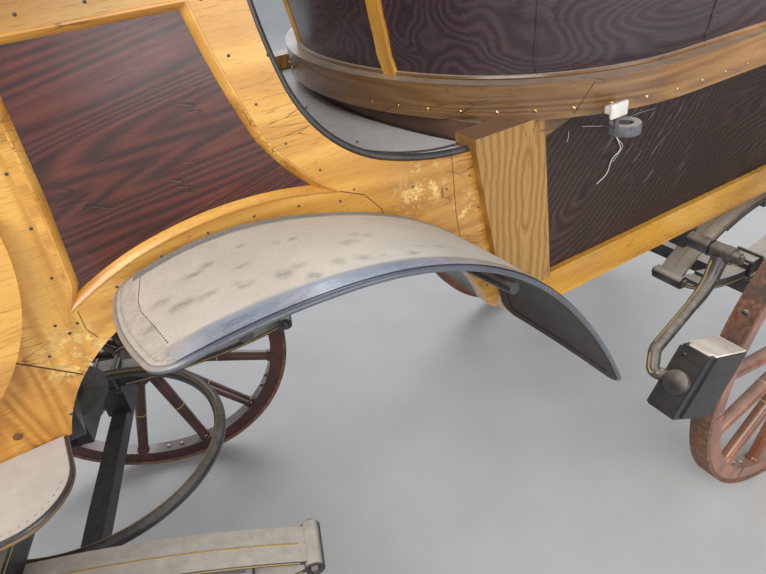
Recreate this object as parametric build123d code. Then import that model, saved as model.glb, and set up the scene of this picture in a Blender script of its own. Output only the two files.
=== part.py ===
from build123d import *
import math
import os

# Four-wheeled horse drawn carriage, open, with a raised front seat, a low
# entrance above a cut-under arch and a rounded rear seat tub.
# Millimetres, +Z up, the horse is towards -X, the left side is at -Y.
# Drawn with the king bolt at x = KING_X, then moved as a whole so that the
# origin is the centre of the bounding box, on the ground.

# ---------------------------------------------------------------- main sizes
SHIFT_X, SHIFT_Y = 159.7, -217.9      # from the drawing frame to the row frame
KING_X = 40.0                    # king bolt, on the centre line
STEER = 19.5                     # front gear at rest, degrees towards +Y side
TRACK_HALF = 577.0               # wheel centre plane from the centre line
AXLE_LEAD = 40.0                 # front axle ahead of the king bolt
FRONT_R, REAR_R = 450.0, 500.0   # wheel radii over the tyre
REAR_X = 1756.0                  # rear axle
TREAD = 48.0                     # tyre width
TYRE_T = 12.0                    # tyre thickness
FELLOE_T = 38.0                  # felloe depth under the tyre
FELLOE_W = 44.0
BODY_Y = 400.0                   # outer face of the side frames
FRAME_T = 36.0                   # side frame thickness
RAIL_Z0, RAIL_Z1 = 1240.0, 1296.0    # rear tub's bottom rail
TUB_Z1 = 1560.0                  # top of the tub panels
TUB_FLARE = 10.0                 # outward lean of the tub panels, degrees
SILL_Z0, SILL_Z1 = 857.0, 925.0
BODY_X1 = 1800.0                 # rear end of the lower body
FLOOR_Z0, FLOOR_Z1 = 1002.0, 1030.0  # driver's floor
SEAT_Z = 1550.0                  # top of the front box
RING_Z0, RING_Z1 = 722.0, 742.0  # turning ring on the fore-carriage
RING_R = 265.0
BED_Z0, BED_Z1 = 742.0, 796.0    # timber bed on the front springs
SHAFT_LEN = 2060.0
SHAFT_HINGE = (-722.0, 250.0, 704.0) # hinge in the straight fore-carriage
SHAFT_R = 21.0
TRACE_HOLE_R = 8.0               # holes in the splinter bar


# ------------------------------------------------------------------- helpers
def xz_face(segs, start, y):
    """Face in the XZ plane at y. segs: ("L", end) or ("A", mid, end)."""
    edges, p = [], start
    for s in segs:
        if s[0] == "L":
            edges.append(Line(p, s[1]))
        else:
            edges.append(ThreePointArc(p, s[1], s[2]))
        p = s[-1]
    if p != start:
        edges.append(Line(p, start))
    return Plane.XZ.offset(-y) * make_face(edges)


def plate(segs, start, y0, y1):
    """Plate with an XZ outline, from y0 to y1 (y0 < y1)."""
    return extrude(xz_face(segs, start, y1), amount=y1 - y0)


def poly(points, y0, y1):
    return plate([("L", p) for p in points[1:]], points[0], y0, y1)


def both(shape):
    """The same piece on the left and right sides, as two solids."""
    return Compound(children=list(shape.solids()) + list(mirror(shape, about=Plane.XZ).solids()))


def box(x0, x1, y0, y1, z0, z1):
    return Pos((x0 + x1) / 2, (y0 + y1) / 2, (z0 + z1) / 2) * Box(x1 - x0, y1 - y0, z1 - z0)


def rod(p, q, r):
    p, q = Vector(*p), Vector(*q)
    d = q - p
    return Plane(origin=p, z_dir=d.normalized()) * Cylinder(r, d.length, align=(Align.CENTER, Align.CENTER, Align.MIN))


def arc_centre(a, b, c):
    """Centre and radius of the circle through three x, z points."""
    (ax, ay), (bx, by), (cx, cy) = a, b, c
    d = 2 * (ax * (by - cy) + bx * (cy - ay) + cx * (ay - by))
    ux = ((ax * ax + ay * ay) * (by - cy) + (bx * bx + by * by) * (cy - ay) + (cx * cx + cy * cy) * (ay - by)) / d
    uy = ((ax * ax + ay * ay) * (cx - bx) + (bx * bx + by * by) * (ax - cx) + (cx * cx + cy * cy) * (bx - ax)) / d
    return (ux, uy), math.dist((ux, uy), a)


def band(start, arcs, t, y0, y1):
    """Curved board of thickness t outside a chain of arcs that bends inward."""
    chain, p = [], start
    for m, e in arcs:
        c, r = arc_centre(p, m, e)
        out = [tuple(c[k] + (q[k] - c[k]) * (r + t) / r for k in (0, 1)) for q in (p, m, e)]
        chain.append(out)
        p = e
    ends = [chain[0][0]]
    for a, b in zip(chain, chain[1:]):
        ends.append(((a[2][0] + b[0][0]) / 2, (a[2][1] + b[0][1]) / 2))
    ends.append(chain[-1][2])
    segs = [("A", m, e) for m, e in arcs] + [("L", ends[-1])]
    for k in range(len(chain) - 1, -1, -1):
        segs.append(("A", chain[k][1], ends[k]))
    return plate(segs, start, y0, y1)


def pipe(points, radii, r):
    """Round bar along straight runs joined by arcs."""
    path = FilletPolyline(*[Vector(*p) for p in points], radius=radii)
    d = Vector(*points[1]) - Vector(*points[0])
    return sweep(Plane(origin=Vector(*points[0]), z_dir=d.normalized()) * Circle(r), path=path)


def cyl_y(x, z, r, y0, y1):
    return rod((x, y0, z), (x, y1, z), r)


def fore(shape):
    """From the straight fore-carriage, king bolt at 0, to its place."""
    return Pos(KING_X, 0, 0) * Rot(0, 0, -STEER) * shape


def one(shape):
    """A single solid or a compound of the solids in a shape."""
    s = shape.solids()
    return s[0] if len(s) == 1 else Compound(children=list(s))


PARTS = {}


# -------------------------------------------------------------------- wheels
def wheel(radius, spokes, phase, side):
    """Wheel about the Y axis at its centre. side -1 has its cap towards -Y."""
    r_in = radius - TYRE_T - FELLOE_T
    tyre = Rot(90, 0, 0) * (Cylinder(radius, TREAD) - Cylinder(radius - TYRE_T, TREAD + 2))
    felloe = Rot(90, 0, 0) * (Cylinder(radius - TYRE_T, FELLOE_W) - Cylinder(r_in, FELLOE_W + 2))
    # nave: y_from, y_to, radius_from, radius_to (y away from the carriage)
    nave_table = [(-88, -30, 50, 66), (-30, 30, 66, 66), (30, 92, 66, 46)]
    nave = None
    for y_from, y_to, ra, rb in nave_table:
        piece = Pos(0, 0, (y_from + y_to) / 2) * (Cylinder(ra, y_to - y_from) if ra == rb else Cone(ra, rb, y_to - y_from))
        nave = piece if nave is None else nave + piece
    length = r_in + 4 - 56
    spoke_set = []
    for k in range(spokes):
        a = 360.0 / spokes * k - side * phase
        s = Rot(0, 0, a) * Pos(56 + length / 2, 0, 0) * Rot(0, 90, 0) * Cone(20, 16, length)
        spoke_set.append(s)
    hub = nave
    for s in spoke_set:
        hub = hub + s
    turn = Rot(-90, 0, 0) if side > 0 else Rot(90, 0, 0)     # local z becomes +Y or -Y
    wood = turn * hub
    wood = wood + felloe
    bore = turn * (Pos(0, 0, -3) * Cylinder(22.3, 182))
    wood = wood - bore
    cap = turn * (Pos(0, 0, 92 + 5) * Cylinder(44, 10) + Pos(0, 0, 102 + 13) * Cylinder(32, 26))
    return tyre, wood, cap


# name, radius, spokes, angle of a spoke above +X, side, on the fore-carriage
WHEELS = [
    ("front_left", FRONT_R, 12, 15.0, -1, True),
    ("front_right", FRONT_R, 12, 15.0, 1, True),
    ("rear_left", REAR_R, 14, 17.5, -1, False),
    ("rear_right", REAR_R, 14, 17.5, 1, False),
]
for name, radius, spokes, phase, side, is_front in WHEELS:
    tyre, wood, cap = wheel(radius, spokes, phase, side)
    for label, shape in (("tyre_" + name, tyre), ("wheel_" + name, wood), ("hub_cap_" + name, cap)):
        if is_front:
            PARTS[label] = fore(Pos(-AXLE_LEAD, side * TRACK_HALF, radius) * shape)
        else:
            PARTS[label] = Pos(REAR_X, side * TRACK_HALF, radius) * shape


# ------------------------------------------------------------ axles, springs
def axle(z, half_bed, w_mid, w_end, seat_y, seat_z):
    """Flat bed with round arms, and a block under each spring."""
    pts = [(-half_bed, -w_end), (0, -w_mid), (half_bed, -w_end), (half_bed, w_end), (0, w_mid), (-half_bed, w_end)]
    bed = Pos(0, 0, z - 14) * extrude(make_face(Polyline(*[(w, y) for y, w in pts], close=True)), amount=42)
    out = bed
    for s in (-1, 1):
        out = out + rod((0, s * (half_bed - 20), z), (0, s * (TRACK_HALF + 78), z), 22)
        out = out + box(-30, 30, s * seat_y - 36, s * seat_y + 36, z + 20, seat_z)
    return out


def elliptic_spring(half, z_low, z_eye, z_top, width, y):
    """Full elliptic spring: an upper and a lower pack of leaves, two eyes."""
    # leaf, reach from the centre, leaf thickness 9, stacked towards the axle
    out = None
    for sign, z_mid in ((1, z_top), (-1, z_low)):
        for leaf, reach in enumerate((1.0, 0.78, 0.55)):
            t = 9.0
            rise = abs(z_mid - z_eye) - t
            c = half
            rad = (c * c + rise * rise) / (2 * rise)
            zc = z_mid - sign * rad          # centre of the main leaf's outer arc
            r_out = rad - leaf * t
            a = math.asin(min(0.999, reach * c / rad))
            if leaf == 0:
                a = math.asin(c / rad)
            pts_o = [(r_out * math.sin(k * a), zc + sign * r_out * math.cos(k * a)) for k in (-1, 0, 1)]
            r_i = r_out - t
            pts_i = [(r_i * math.sin(k * a), zc + sign * r_i * math.cos(k * a)) for k in (1, 0, -1)]
            leaf_solid = plate([("A", pts_o[1], pts_o[2]), ("L", pts_i[0]), ("A", pts_i[1], pts_i[2])],
                               pts_o[0], y - width / 2, y + width / 2)
            out = leaf_solid if out is None else out + leaf_solid
    for s in (-1, 1):
        out = out + cyl_y(s * (half - 2), z_eye, 17, y - width / 2 - 8, y + width / 2 + 8)
    # clip blocks at the centre, inside the leaves
    out = out + box(-34, 34, y - width / 2, y + width / 2, z_low + 20, z_low + 44)
    out = out + box(-34, 34, y - width / 2, y + width / 2, z_top - 44, z_top - 20)
    return out


FRONT_SPRING_Y, FRONT_SPRING = 342.0, dict(half=480.0, z_low=560.0, z_eye=652.0, z_top=742.0, width=66.0)
REAR_SPRING_Y, REAR_SPRING = 330.0, dict(half=340.0, z_low=540.0, z_eye=662.0, z_top=806.0, width=60.0)

front_axle = Pos(-AXLE_LEAD, 0, 0) * axle(FRONT_R, 470, 22, 18, FRONT_SPRING_Y, FRONT_SPRING["z_low"])
PARTS["front_axle"] = fore(front_axle)
spring = Pos(-AXLE_LEAD, 0, 0) * elliptic_spring(y=-FRONT_SPRING_Y, **FRONT_SPRING)
PARTS["front_springs"] = fore(both(spring))
PARTS["rear_axle"] = Pos(REAR_X, 0, 0) * axle(REAR_R, 470, 30, 24, REAR_SPRING_Y, REAR_SPRING["z_low"])
spring = Pos(REAR_X, 0, 0) * elliptic_spring(y=-REAR_SPRING_Y, **REAR_SPRING)
PARTS["rear_springs"] = both(spring)

# -------------------------------------------------------------- fore-carriage
# timber bed over the two springs, with the king bolt's bore; it reaches back
# over the bolt
bed = box(-AXLE_LEAD - 38, -AXLE_LEAD + 38, -392, 392, BED_Z0, BED_Z1) + box(-60, 60, -70, 70, BED_Z0, BED_Z1)
bed = bed - Pos(0, 0, BED_Z0) * Cylinder(16.3, 400)
PARTS["fore_bed"] = fore(bed)
# turning hoop of round bar, oval in plan, carried from the bed by two arms
# that pass under the futchells; in front it is bolted up to them
HOOP_A, HOOP_B, HOOP_Z = 275.0, 248.0, 650.0
path = Pos(0, 0, HOOP_Z) * Edge.make_ellipse(HOOP_A, HOOP_B)
hoop = sweep(Plane(origin=path @ 0, z_dir=path % 0) * Circle(12.5), path=path)
arm = pipe([(-40, 52, BED_Z0 - 12), (-52, 58, 664), (-126, 206, HOOP_Z + 1)], [16], 10.5)
arm = arm + box(-58, -22, 36, 70, BED_Z0 - 14, BED_Z0)
arm = arm + Pos(-132, 217.7, HOOP_Z) * Rot(0, 0, 26.3) * Box(44, 38, 32)
for e in (arm, mirror(arm, about=Plane.XZ)):
    hoop = hoop + e
fz0, fz1 = RING_Z0 - 36, RING_Z0


def slab(points):
    """Flat piece of the futchells' depth."""
    return extrude(Pos(0, 0, fz0) * make_face(Polyline(*points, close=True)), amount=fz1 - fz0)


def bar_inner(x):
    return 62 + 134 * (232 - x) / 872


for s in (-1, 1):
    hoop = hoop + Pos(-220, s * 148.6, (HOOP_Z + fz0) / 2) * Cylinder(10, fz0 - HOOP_Z)
PARTS["turning_ring"] = fore(hoop)
# futchells: two bars under the bed out to the splinter bar, packed up to the
# bed, with a cross piece between them
BED_X0, BED_X1 = -AXLE_LEAD - 38, -AXLE_LEAD + 38
fut = []
for s in (-1, 1):
    bar = slab([(BED_X1, s * bar_inner(BED_X1)), (BED_X1, s * (bar_inner(BED_X1) + 42)), (-640, s * 236), (-640, s * 196)])
    pack = extrude(Pos(0, 0, fz1) * make_face(Polyline((BED_X0, s * bar_inner(BED_X0)), (BED_X0, s * (bar_inner(BED_X0) + 42)), (BED_X1, s * (bar_inner(BED_X1) + 42)), (BED_X1, s * bar_inner(BED_X1)), close=True)), amount=BED_Z0 - fz1)
    fut.append(bar + pack)
fut.append(slab([(-300, -bar_inner(-300)), (-300, bar_inner(-300)), (-340, bar_inner(-340)), (-340, -bar_inner(-340))]))
PARTS["futchells"] = fore(Compound(children=[q for b in fut for q in b.solids()]))
splinter = box(-690, -640, -440, 440, fz0, fz1)
for s in (-1, 1):
    for e in (-1, 1):
        ear_y = s * SHAFT_HINGE[1] + e * 29
        splinter = splinter + box(-746, -680, ear_y - 5, ear_y + 5, fz0, fz1 + 4)
    splinter = splinter - cyl_y(SHAFT_HINGE[0], SHAFT_HINGE[2], 8.3, s * SHAFT_HINGE[1] - 40, s * SHAFT_HINGE[1] + 40)
for y in (-410, 0, 410):                                  # trace and bar bolts
    splinter = splinter - Pos(-665, y, fz0) * Cylinder(TRACE_HOLE_R, 200)
PARTS["splinter_bar"] = fore(splinter)

# -------------------------------------------------------------------- shafts
hx, hz = SHAFT_HINGE[0], SHAFT_HINGE[2]
shaft_drop = math.degrees(math.asin((hz - SHAFT_R) / SHAFT_LEN))
shafts = None
for s in (-1, 1):
    # straight heel, then a slight spread and a taper to the tip
    y0, y1, y2 = s * SHAFT_HINGE[1], s * (SHAFT_HINGE[1] + 26), s * (SHAFT_HINGE[1] - 6)
    p = [(-34, y0, 0), (-700, y1, 0), (-1400, y1, 0), (-SHAFT_LEN, y2, 0)]
    bar = rod(p[0], p[1], SHAFT_R) + rod(p[1], p[2], SHAFT_R) + rod(p[2], p[3], SHAFT_R)
    for q in p[1:]:
        bar = bar + Pos(*q) * Sphere(SHAFT_R)
    heel = cyl_y(0, 0, 20, y0 - 19, y0 + 19) + box(-60, 0, y0 - 14, y0 + 14, -14, 14)
    heel = heel - cyl_y(0, 0, 8.3, y0 - 30, y0 + 30)
    pin = cyl_y(0, 0, 8, y0 - 19, y0 + 19)
    shafts = (bar + heel) if shafts is None else shafts + bar + heel
shafts = shafts + rod((-300, -SHAFT_HINGE[1] - 12, 0), (-300, SHAFT_HINGE[1] + 12, 0), 17)
PARTS["shafts"] = fore(Pos(hx, 0, hz) * Rot(0, -shaft_drop, 0) * shafts)
pins = None
for s in (-1, 1):
    pin = cyl_y(hx, hz, 8, s * SHAFT_HINGE[1] - 40, s * SHAFT_HINGE[1] + 40)
    pins = pin if pins is None else pins + pin
PARTS["shaft_pins"] = fore(one(pins))

# --------------------------------------------------------- body: side frames
def post_front(z):
    return 732.0 + (1300.0 - z) * 0.1891


ARCH_ARCS = [((738, 998), (676, 1064)), ((566, 1138), (438, 1168)), ((306, 1174), (196, 1148)), ((141, 1104), (100, 1030))]
ARCH = [("A", m, e) for m, e in ARCH_ARCS]
DOORWAY = [("A", (452, 1470), (474, 1377)), ("A", (521, 1301), (591, 1252)), ("A", (673, 1227), (post_front(1218), 1218))]
frame = plate([("L", (445, SEAT_Z))] + DOORWAY + [("L", (post_front(925), 925)), ("L", (797, 902)), ("L", (782, 913))] + ARCH
              + [("L", (-350, FLOOR_Z1))], (-350, SEAT_Z), -BODY_Y, -BODY_Y + FRAME_T)
PANEL = [("L", (386, 1491)), ("A", (411, 1395), (434, 1330)), ("A", (473, 1274), (523, 1227)),
         ("A", (358, 1250), (247, 1233)), ("A", (202, 1216), (159, 1194)), ("L", (173, 1226)), ("L", (179, 1328))]
opening = plate(PANEL, (182, 1491), -BODY_Y - 1, -BODY_Y + FRAME_T + 1)
PARTS["side_frames"] = both(frame - opening)
PARTS["front_panels"] = both(plate(PANEL, (182, 1491), -BODY_Y + 8, -BODY_Y + 24))

post = poly([(post_front(RAIL_Z0), RAIL_Z0), (883, RAIL_Z0), (914.5, SILL_Z1), (post_front(SILL_Z1), SILL_Z1)], -BODY_Y - 14, -BODY_Y + FRAME_T)
post = post - poly([(post_front(1218) - 1, 1218), (post_front(1218) - 1, 1300), (700, 1300), (700, 1218)], -500, -300)
PARTS["rear_posts"] = both(post)
panel = poly([(883, RAIL_Z0), (BODY_X1 - 20, RAIL_Z0), (BODY_X1 - 20, SILL_Z1), (914.5, SILL_Z1)], -BODY_Y + 8, -BODY_Y + 28)
PARTS["lower_panels"] = both(panel)
sill = poly([(post_front(SILL_Z1), SILL_Z1), (BODY_X1, SILL_Z1), (BODY_X1, SILL_Z0), (842, SILL_Z0)], -BODY_Y - 4, -BODY_Y + 50)
for x in (REAR_X,):
    sill = sill + box(x - 36, x + 36, -REAR_SPRING_Y - 30, -REAR_SPRING_Y + 30, REAR_SPRING["z_top"], SILL_Z0) + box(x - 36, x + 36, -BODY_Y + 50, -REAR_SPRING_Y + 30, SILL_Z0, SILL_Z0 + 30)
PARTS["sills"] = both(sill)
PARTS["tail_panel"] = box(BODY_X1 - 20, BODY_X1, -BODY_Y + 8, BODY_Y - 8, SILL_Z1, RAIL_Z0)
PARTS["boot_floor"] = box(860, BODY_X1 - 20, -BODY_Y + 50, BODY_Y - 50, SILL_Z1 - 18, SILL_Z1)

# ------------------------------------------------------------ body: rear tub
TUB_X0, TUB_X1, TUB_Y, TUB_RAD = 690.0, 1822.0, 505.0, 165.0
NOSE_R, NOSE_ANGLE = 640.0, 28.0     # bowed front, then a rounder corner


def tub_plan(grow, z, x1=TUB_X1, rear_r=TUB_RAD):
    """Plan of the tub: bowed front, two front corners, straight sides, rear corners."""
    a, b = math.radians(NOSE_ANGLE), math.radians((NOSE_ANGLE + 90) / 2)
    corner_r = (TUB_Y - NOSE_R * math.sin(a)) / (1 - math.sin(a))
    r1, r2, r3 = NOSE_R + grow, corner_r + grow, rear_r + grow
    x0, y1 = TUB_X0 - grow, TUB_Y + grow
    p1 = (x0 + r1 * (1 - math.cos(a)), r1 * math.sin(a))
    mid = (p1[0] + r2 * (math.cos(a) - math.cos(b)), p1[1] + r2 * (math.sin(b) - math.sin(a)))
    p2 = (p1[0] + r2 * math.cos(a), y1)
    p3, p4 = (x1 + grow - r3, y1), (x1 + grow, y1 - r3)
    c = r3 * (1 - math.sqrt(0.5))
    rear_mid = (x1 + grow - c, y1 - c)
    neg = lambda q: (q[0], -q[1])
    edges = [ThreePointArc(neg(p1), (x0, 0), p1), ThreePointArc(p1, mid, p2), Line(p2, p3), ThreePointArc(p3, rear_mid, p4),
             Line(p4, neg(p4)), ThreePointArc(neg(p4), neg(rear_mid), neg(p3)), Line(neg(p3), neg(p2)), ThreePointArc(neg(p2), neg(mid), neg(p1))]
    return Pos(0, 0, z) * make_face(edges)


def flared(grow, z0, z1):
    """Solid of the tub's plan whose sides lean outwards."""
    g = math.tan(math.radians(TUB_FLARE)) * (z1 - z0)
    return loft([tub_plan(grow, z0), tub_plan(grow + g, z1)], ruled=True)


rail = extrude(tub_plan(0, RAIL_Z0), amount=RAIL_Z1 - RAIL_Z0) - extrude(tub_plan(-122, RAIL_Z0 - 1), amount=RAIL_Z1 - RAIL_Z0 + 2)
h = TUB_Z1 - RAIL_Z1
wall = flared(-30, RAIL_Z1, TUB_Z1) - flared(-50, RAIL_Z1, TUB_Z1)
PARTS["tub_panels"] = wall
grow = math.tan(math.radians(TUB_FLARE)) * h
cap_rail = extrude(tub_plan(grow - 20, TUB_Z1), amount=34) - extrude(tub_plan(grow - 62, TUB_Z1 - 1), amount=36)
PARTS["tub_rail"] = rail
PARTS["tub_top_rail"] = cap_rail
PARTS["tub_floor"] = extrude(tub_plan(-123, RAIL_Z0 + 20), amount=20)
SEAT_X1 = 1330.0                 # rear edge of the passengers' cushion
inner = flared(-50, RAIL_Z1, TUB_Z1)
PARTS["passenger_seat_board"] = inner & box(TUB_X0 - 200, TUB_X1 + 200, -700, 700, TUB_Z1 - 24, TUB_Z1 - 4)
cush = extrude(tub_plan(-26, TUB_Z1 - 4, SEAT_X1 + 26, 90), amount=36) + extrude(tub_plan(-60, TUB_Z1 - 4, SEAT_X1 + 60, 140), amount=84)
PARTS["passenger_cushion"] = cush
# padded back: a U in plan, high at the rear, sweeping down to the arms
BACK_X1, BACK_T = 1420.0, 58.0
back = extrude(tub_plan(2, TUB_Z1 + 34, BACK_X1 - 2, 150), amount=330) - extrude(tub_plan(2 - BACK_T, TUB_Z1 + 33, BACK_X1 - 2, 150), amount=332)
keep = plate([("A", (1010, TUB_Z1 + 100), (1160, TUB_Z1 + 190)), ("A", (1250, TUB_Z1 + 300), (1380, TUB_Z1 + 350)),
              ("L", (1500, TUB_Z1 + 350)), ("L", (1500, TUB_Z1))], (900, TUB_Z1 + 60), -800, 800) + box(880, 1500, -800, 800, TUB_Z1, TUB_Z1 + 60)
PARTS["passenger_backrest"] = back & keep

# -------------------------------------------------- body: footwell and arch
W = BODY_Y - FRAME_T
RISER_X0, RISER_X1, RISER_T = 726.0, 792.0, 12.0      # bowed riser, at the centre line and at the sides
well = extrude(Pos(0, 0, 1188) * make_face([Line((445, -W), (445, W)), Line((445, W), (RISER_X1 + RISER_T, W)),
               ThreePointArc((RISER_X1 + RISER_T, W), (RISER_X0 + RISER_T, 0), (RISER_X1 + RISER_T, -W)), Line((RISER_X1 + RISER_T, -W), (445, -W))]), amount=14)
riser = extrude(Pos(0, 0, 1202) * make_face([Line((RISER_X1, -W), (RISER_X1 + RISER_T, -W)), ThreePointArc((RISER_X1 + RISER_T, -W), (RISER_X0 + RISER_T, 0), (RISER_X1 + RISER_T, W)),
                Line((RISER_X1 + RISER_T, W), (RISER_X1, W)), ThreePointArc((RISER_X1, W), (RISER_X0, 0), (RISER_X1, -W))]), amount=RAIL_Z0 - 1202)
PARTS["footwell_floor"] = well + riser
lining = band((782, 913), ARCH_ARCS, 14, -W, W) - box(0, 200, -W - 1, W + 1, 990, FLOOR_Z1)
PARTS["arch_lining"] = lining

# --------------------------------------------------- body: front box, floor
floor = Pos(-352, 0, FLOOR_Z0) * extrude(RectangleRounded(894, 1060, 75), amount=FLOOR_Z1 - FLOOR_Z0)
floor = chamfer(floor.faces().sort_by(Axis.Z)[0].edges(), 24)
PARTS["driver_floor"] = floor
boxy = box(-350, -330, -W, W, FLOOR_Z1, SEAT_Z - 20) + box(-350, 445, -W, W, SEAT_Z - 20, SEAT_Z) + box(425, 445, -W, W, 1188, SEAT_Z - 20)
PARTS["driver_box"] = boxy
cheek = plate([("L", (60, 1350)), ("L", (136, 1330)), ("A", (126, 1247), (62, 1138)), ("A", (10, 1112), (-60, 1104)), ("L", (-420, 1104))],
              (-420, 1350), -BODY_Y - 26, -BODY_Y)
PARTS["cheek_boards"] = both(cheek)
PARTS["driver_cushion"] = box(-345, 112, -W + 10, W - 10, SEAT_Z, SEAT_Z + 95)
rail_pts = [(130, -W + 16, SEAT_Z + 2), (168, -W + 16, SEAT_Z + 300), (168, W - 16, SEAT_Z + 300), (130, W - 16, SEAT_Z + 2)]
iron = pipe(rail_pts, [60, 60], 11)
iron = iron + rod((140, 0, SEAT_Z + 2), (168, 0, SEAT_Z + 296), 9)
PARTS["driver_seat_rail"] = iron
PARTS["driver_backrest"] = poly([(128, SEAT_Z + 110), (104, SEAT_Z + 112), (126, SEAT_Z + 288), (150, SEAT_Z + 286)], -W + 40, W - 40)
toe = poly([(-790, FLOOR_Z1), (-766, FLOOR_Z1), (-880, 1262), (-902, 1254)], -BODY_Y, BODY_Y)
PARTS["toe_board"] = toe
dash = poly([(-902, 1254), (-880, 1262), (-960, 1500), (-974, 1496)], -BODY_Y, BODY_Y)
PARTS["dashboard"] = dash

# --------------------------------------------------------------- mudguards
# arcs of the top face: (mid, end) x, z pairs, at the inner and outer edges
GUARD_IN = ((218, 1212), [((330, 1237), (470, 1216)), ((630, 1152), (742, 1060)), ((790, 985), (812, 900))])
GUARD_OUT = ((218, 1246), [((340, 1257), (470, 1245)), ((640, 1165), (755, 1044)), ((822, 945), (876, 838))])
GUARD_Y_IN, GUARD_Y_OUT, GUARD_T = 406.0, 645.0, 7.0


def guard_section(table, y):
    start, arcs = table
    up = [("A", m, e) for m, e in arcs]
    dx, dz = -4.5, -5.5
    low = []
    pts = [start] + [q for m, e in arcs for q in (m, e)]
    pts = [(x + dx, z + dz) for x, z in pts][::-1]
    low.append(("L", pts[0]))
    for k in range(0, len(pts) - 1, 2):
        low.append(("A", pts[k + 1], pts[k + 2]))
    return xz_face(up + low, start, y)


guard = loft([guard_section(GUARD_IN, -GUARD_Y_IN), guard_section(GUARD_OUT, -GUARD_Y_OUT)], ruled=True)
guard = guard - poly([(post_front(RAIL_Z0) - 1, RAIL_Z0), (930, RAIL_Z0), (930, SILL_Z1 - 80), (post_front(SILL_Z1 - 80) - 1, SILL_Z1 - 80)], -BODY_Y - 15, -300)
guard = sorted(guard.solids(), key=lambda q: q.volume)[-1]
PARTS["mudguards"] = both(guard)
irons = None
for x0, z0, x1, z1 in ((300, 1214, 306, 1232), (640, 1112, 646, 1134)):
    arm = pipe([(x0, -BODY_Y, z0 - 6), (x0, -BODY_Y - 40, z0 - 6), (x1, -GUARD_Y_OUT + 30, z1 - 8)], [30], 8)
    irons = arm if irons is None else irons + arm
PARTS["mudguard_irons"] = both(irons)

# ----------------------------------------------------- turntable, king bolt
bolster = box(KING_X - 60, KING_X + 60, -300, 300, 940, FLOOR_Z0)
top = rod((KING_X, 0, 712), (KING_X, 0, 950), 16) + Pos(KING_X, 0, 870) * Cylinder(52, 142)
top = top + Pos(KING_X, 0, 806) * Cylinder(95, 10) + Pos(KING_X, 0, 722) * Cylinder(28, 14)
PARTS["turntable_top"] = top + bolster

# ------------------------------------------------------------------- brake
BRAKE_X, BRAKE_Z = 1352.0, 832.0
shaft = cyl_y(BRAKE_X, BRAKE_Z, 11, -490, 490)
arms = shaft
for s in (-1, 1):
    p = [(BRAKE_X, s * 482, BRAKE_Z), (1308, s * 490, 762), (1105, s * 528, 722), (1078, s * 548, 690), (1132, s * 588, 664)]
    arms = arms + pipe(p, [60, 24, 14], 13)
    arms = arms + cyl_y(BRAKE_X, BRAKE_Z, 18, s * 462, s * 506)
PARTS["brake_shaft"] = arms
blocks = []
for s in (-1, 1):
    b = poly([(1146, 737), (1065, 619), (1191, 547), (1278, 686)], min(s * 560, s * 620), max(s * 560, s * 620))
    blocks.append(b - rod((1078 - 54, s * 508, 690 + 26), (1078 + 65, s * 596, 690 - 31), 13.3))
PARTS["brake_blocks"] = Compound(children=[q for b in blocks for q in b.solids()])
brackets = None
for s in (-1, 1):
    br = cyl_y(BRAKE_X, BRAKE_Z, 18, s * 404, s * 452) if s > 0 else cyl_y(BRAKE_X, BRAKE_Z, 18, -452, -404)
    br = br + box(BRAKE_X - 18, BRAKE_X + 18, min(s * 352, s * 404), max(s * 352, s * 404), BRAKE_Z - 18, SILL_Z0)
    br = br - cyl_y(BRAKE_X, BRAKE_Z, 11.3, -500, 500)
    brackets = br if brackets is None else brackets + br
PARTS["brake_brackets"] = one(brackets)

# ------------------------------------------------------------------- export
os.makedirs("parts", exist_ok=True)
low, high = [1e9] * 3, [-1e9] * 3
for label, shape in PARTS.items():
    moved = [Pos(SHIFT_X, SHIFT_Y, 0) * s for s in shape.solids()]
    shape = moved[0] if len(moved) == 1 else Compound(children=moved)
    shape.label = label
    b = shape.bounding_box()
    for k, (a, c) in enumerate(zip((b.min.X, b.min.Y, b.min.Z), (b.max.X, b.max.Y, b.max.Z))):
        low[k], high[k] = min(low[k], a), max(high[k], c)
    export_step(shape, f"parts/{label}.step")
print(len(PARTS), "parts; box", [round(v, 1) for v in low], [round(v, 1) for v in high])
print("centre", round((low[0] + high[0]) / 2, 2), round((low[1] + high[1]) / 2, 2), "shaft drop", round(shaft_drop, 2))
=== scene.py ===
import bpy, bmesh, math, random
import numpy as np
from mathutils import Vector, Matrix


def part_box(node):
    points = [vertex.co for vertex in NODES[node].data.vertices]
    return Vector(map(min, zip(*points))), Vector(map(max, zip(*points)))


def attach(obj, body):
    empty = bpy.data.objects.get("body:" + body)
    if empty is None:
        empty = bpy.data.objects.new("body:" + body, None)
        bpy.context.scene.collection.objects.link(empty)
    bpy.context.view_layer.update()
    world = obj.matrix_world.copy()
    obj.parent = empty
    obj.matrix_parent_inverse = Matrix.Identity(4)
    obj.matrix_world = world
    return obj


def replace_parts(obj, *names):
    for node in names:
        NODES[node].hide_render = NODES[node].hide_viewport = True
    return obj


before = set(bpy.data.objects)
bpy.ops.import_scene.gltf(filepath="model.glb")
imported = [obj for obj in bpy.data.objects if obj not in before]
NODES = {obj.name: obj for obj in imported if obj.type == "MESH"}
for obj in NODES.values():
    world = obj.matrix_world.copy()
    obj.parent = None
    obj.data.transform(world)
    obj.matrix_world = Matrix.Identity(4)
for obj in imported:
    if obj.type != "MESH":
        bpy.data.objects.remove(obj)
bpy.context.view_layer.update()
scene = bpy.context.scene
random.seed(7)
rng = np.random.default_rng(7)

# The drawing frame has its x zero near the front of the front box and its y
# zero on the carriage's centre plane. Millimetres there, metres here.
SX, SY = 159.7, -217.9
KING_X, STEER = 40.0, 19.5
CS, SN = math.cos(math.radians(STEER)), math.sin(math.radians(STEER))


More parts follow.
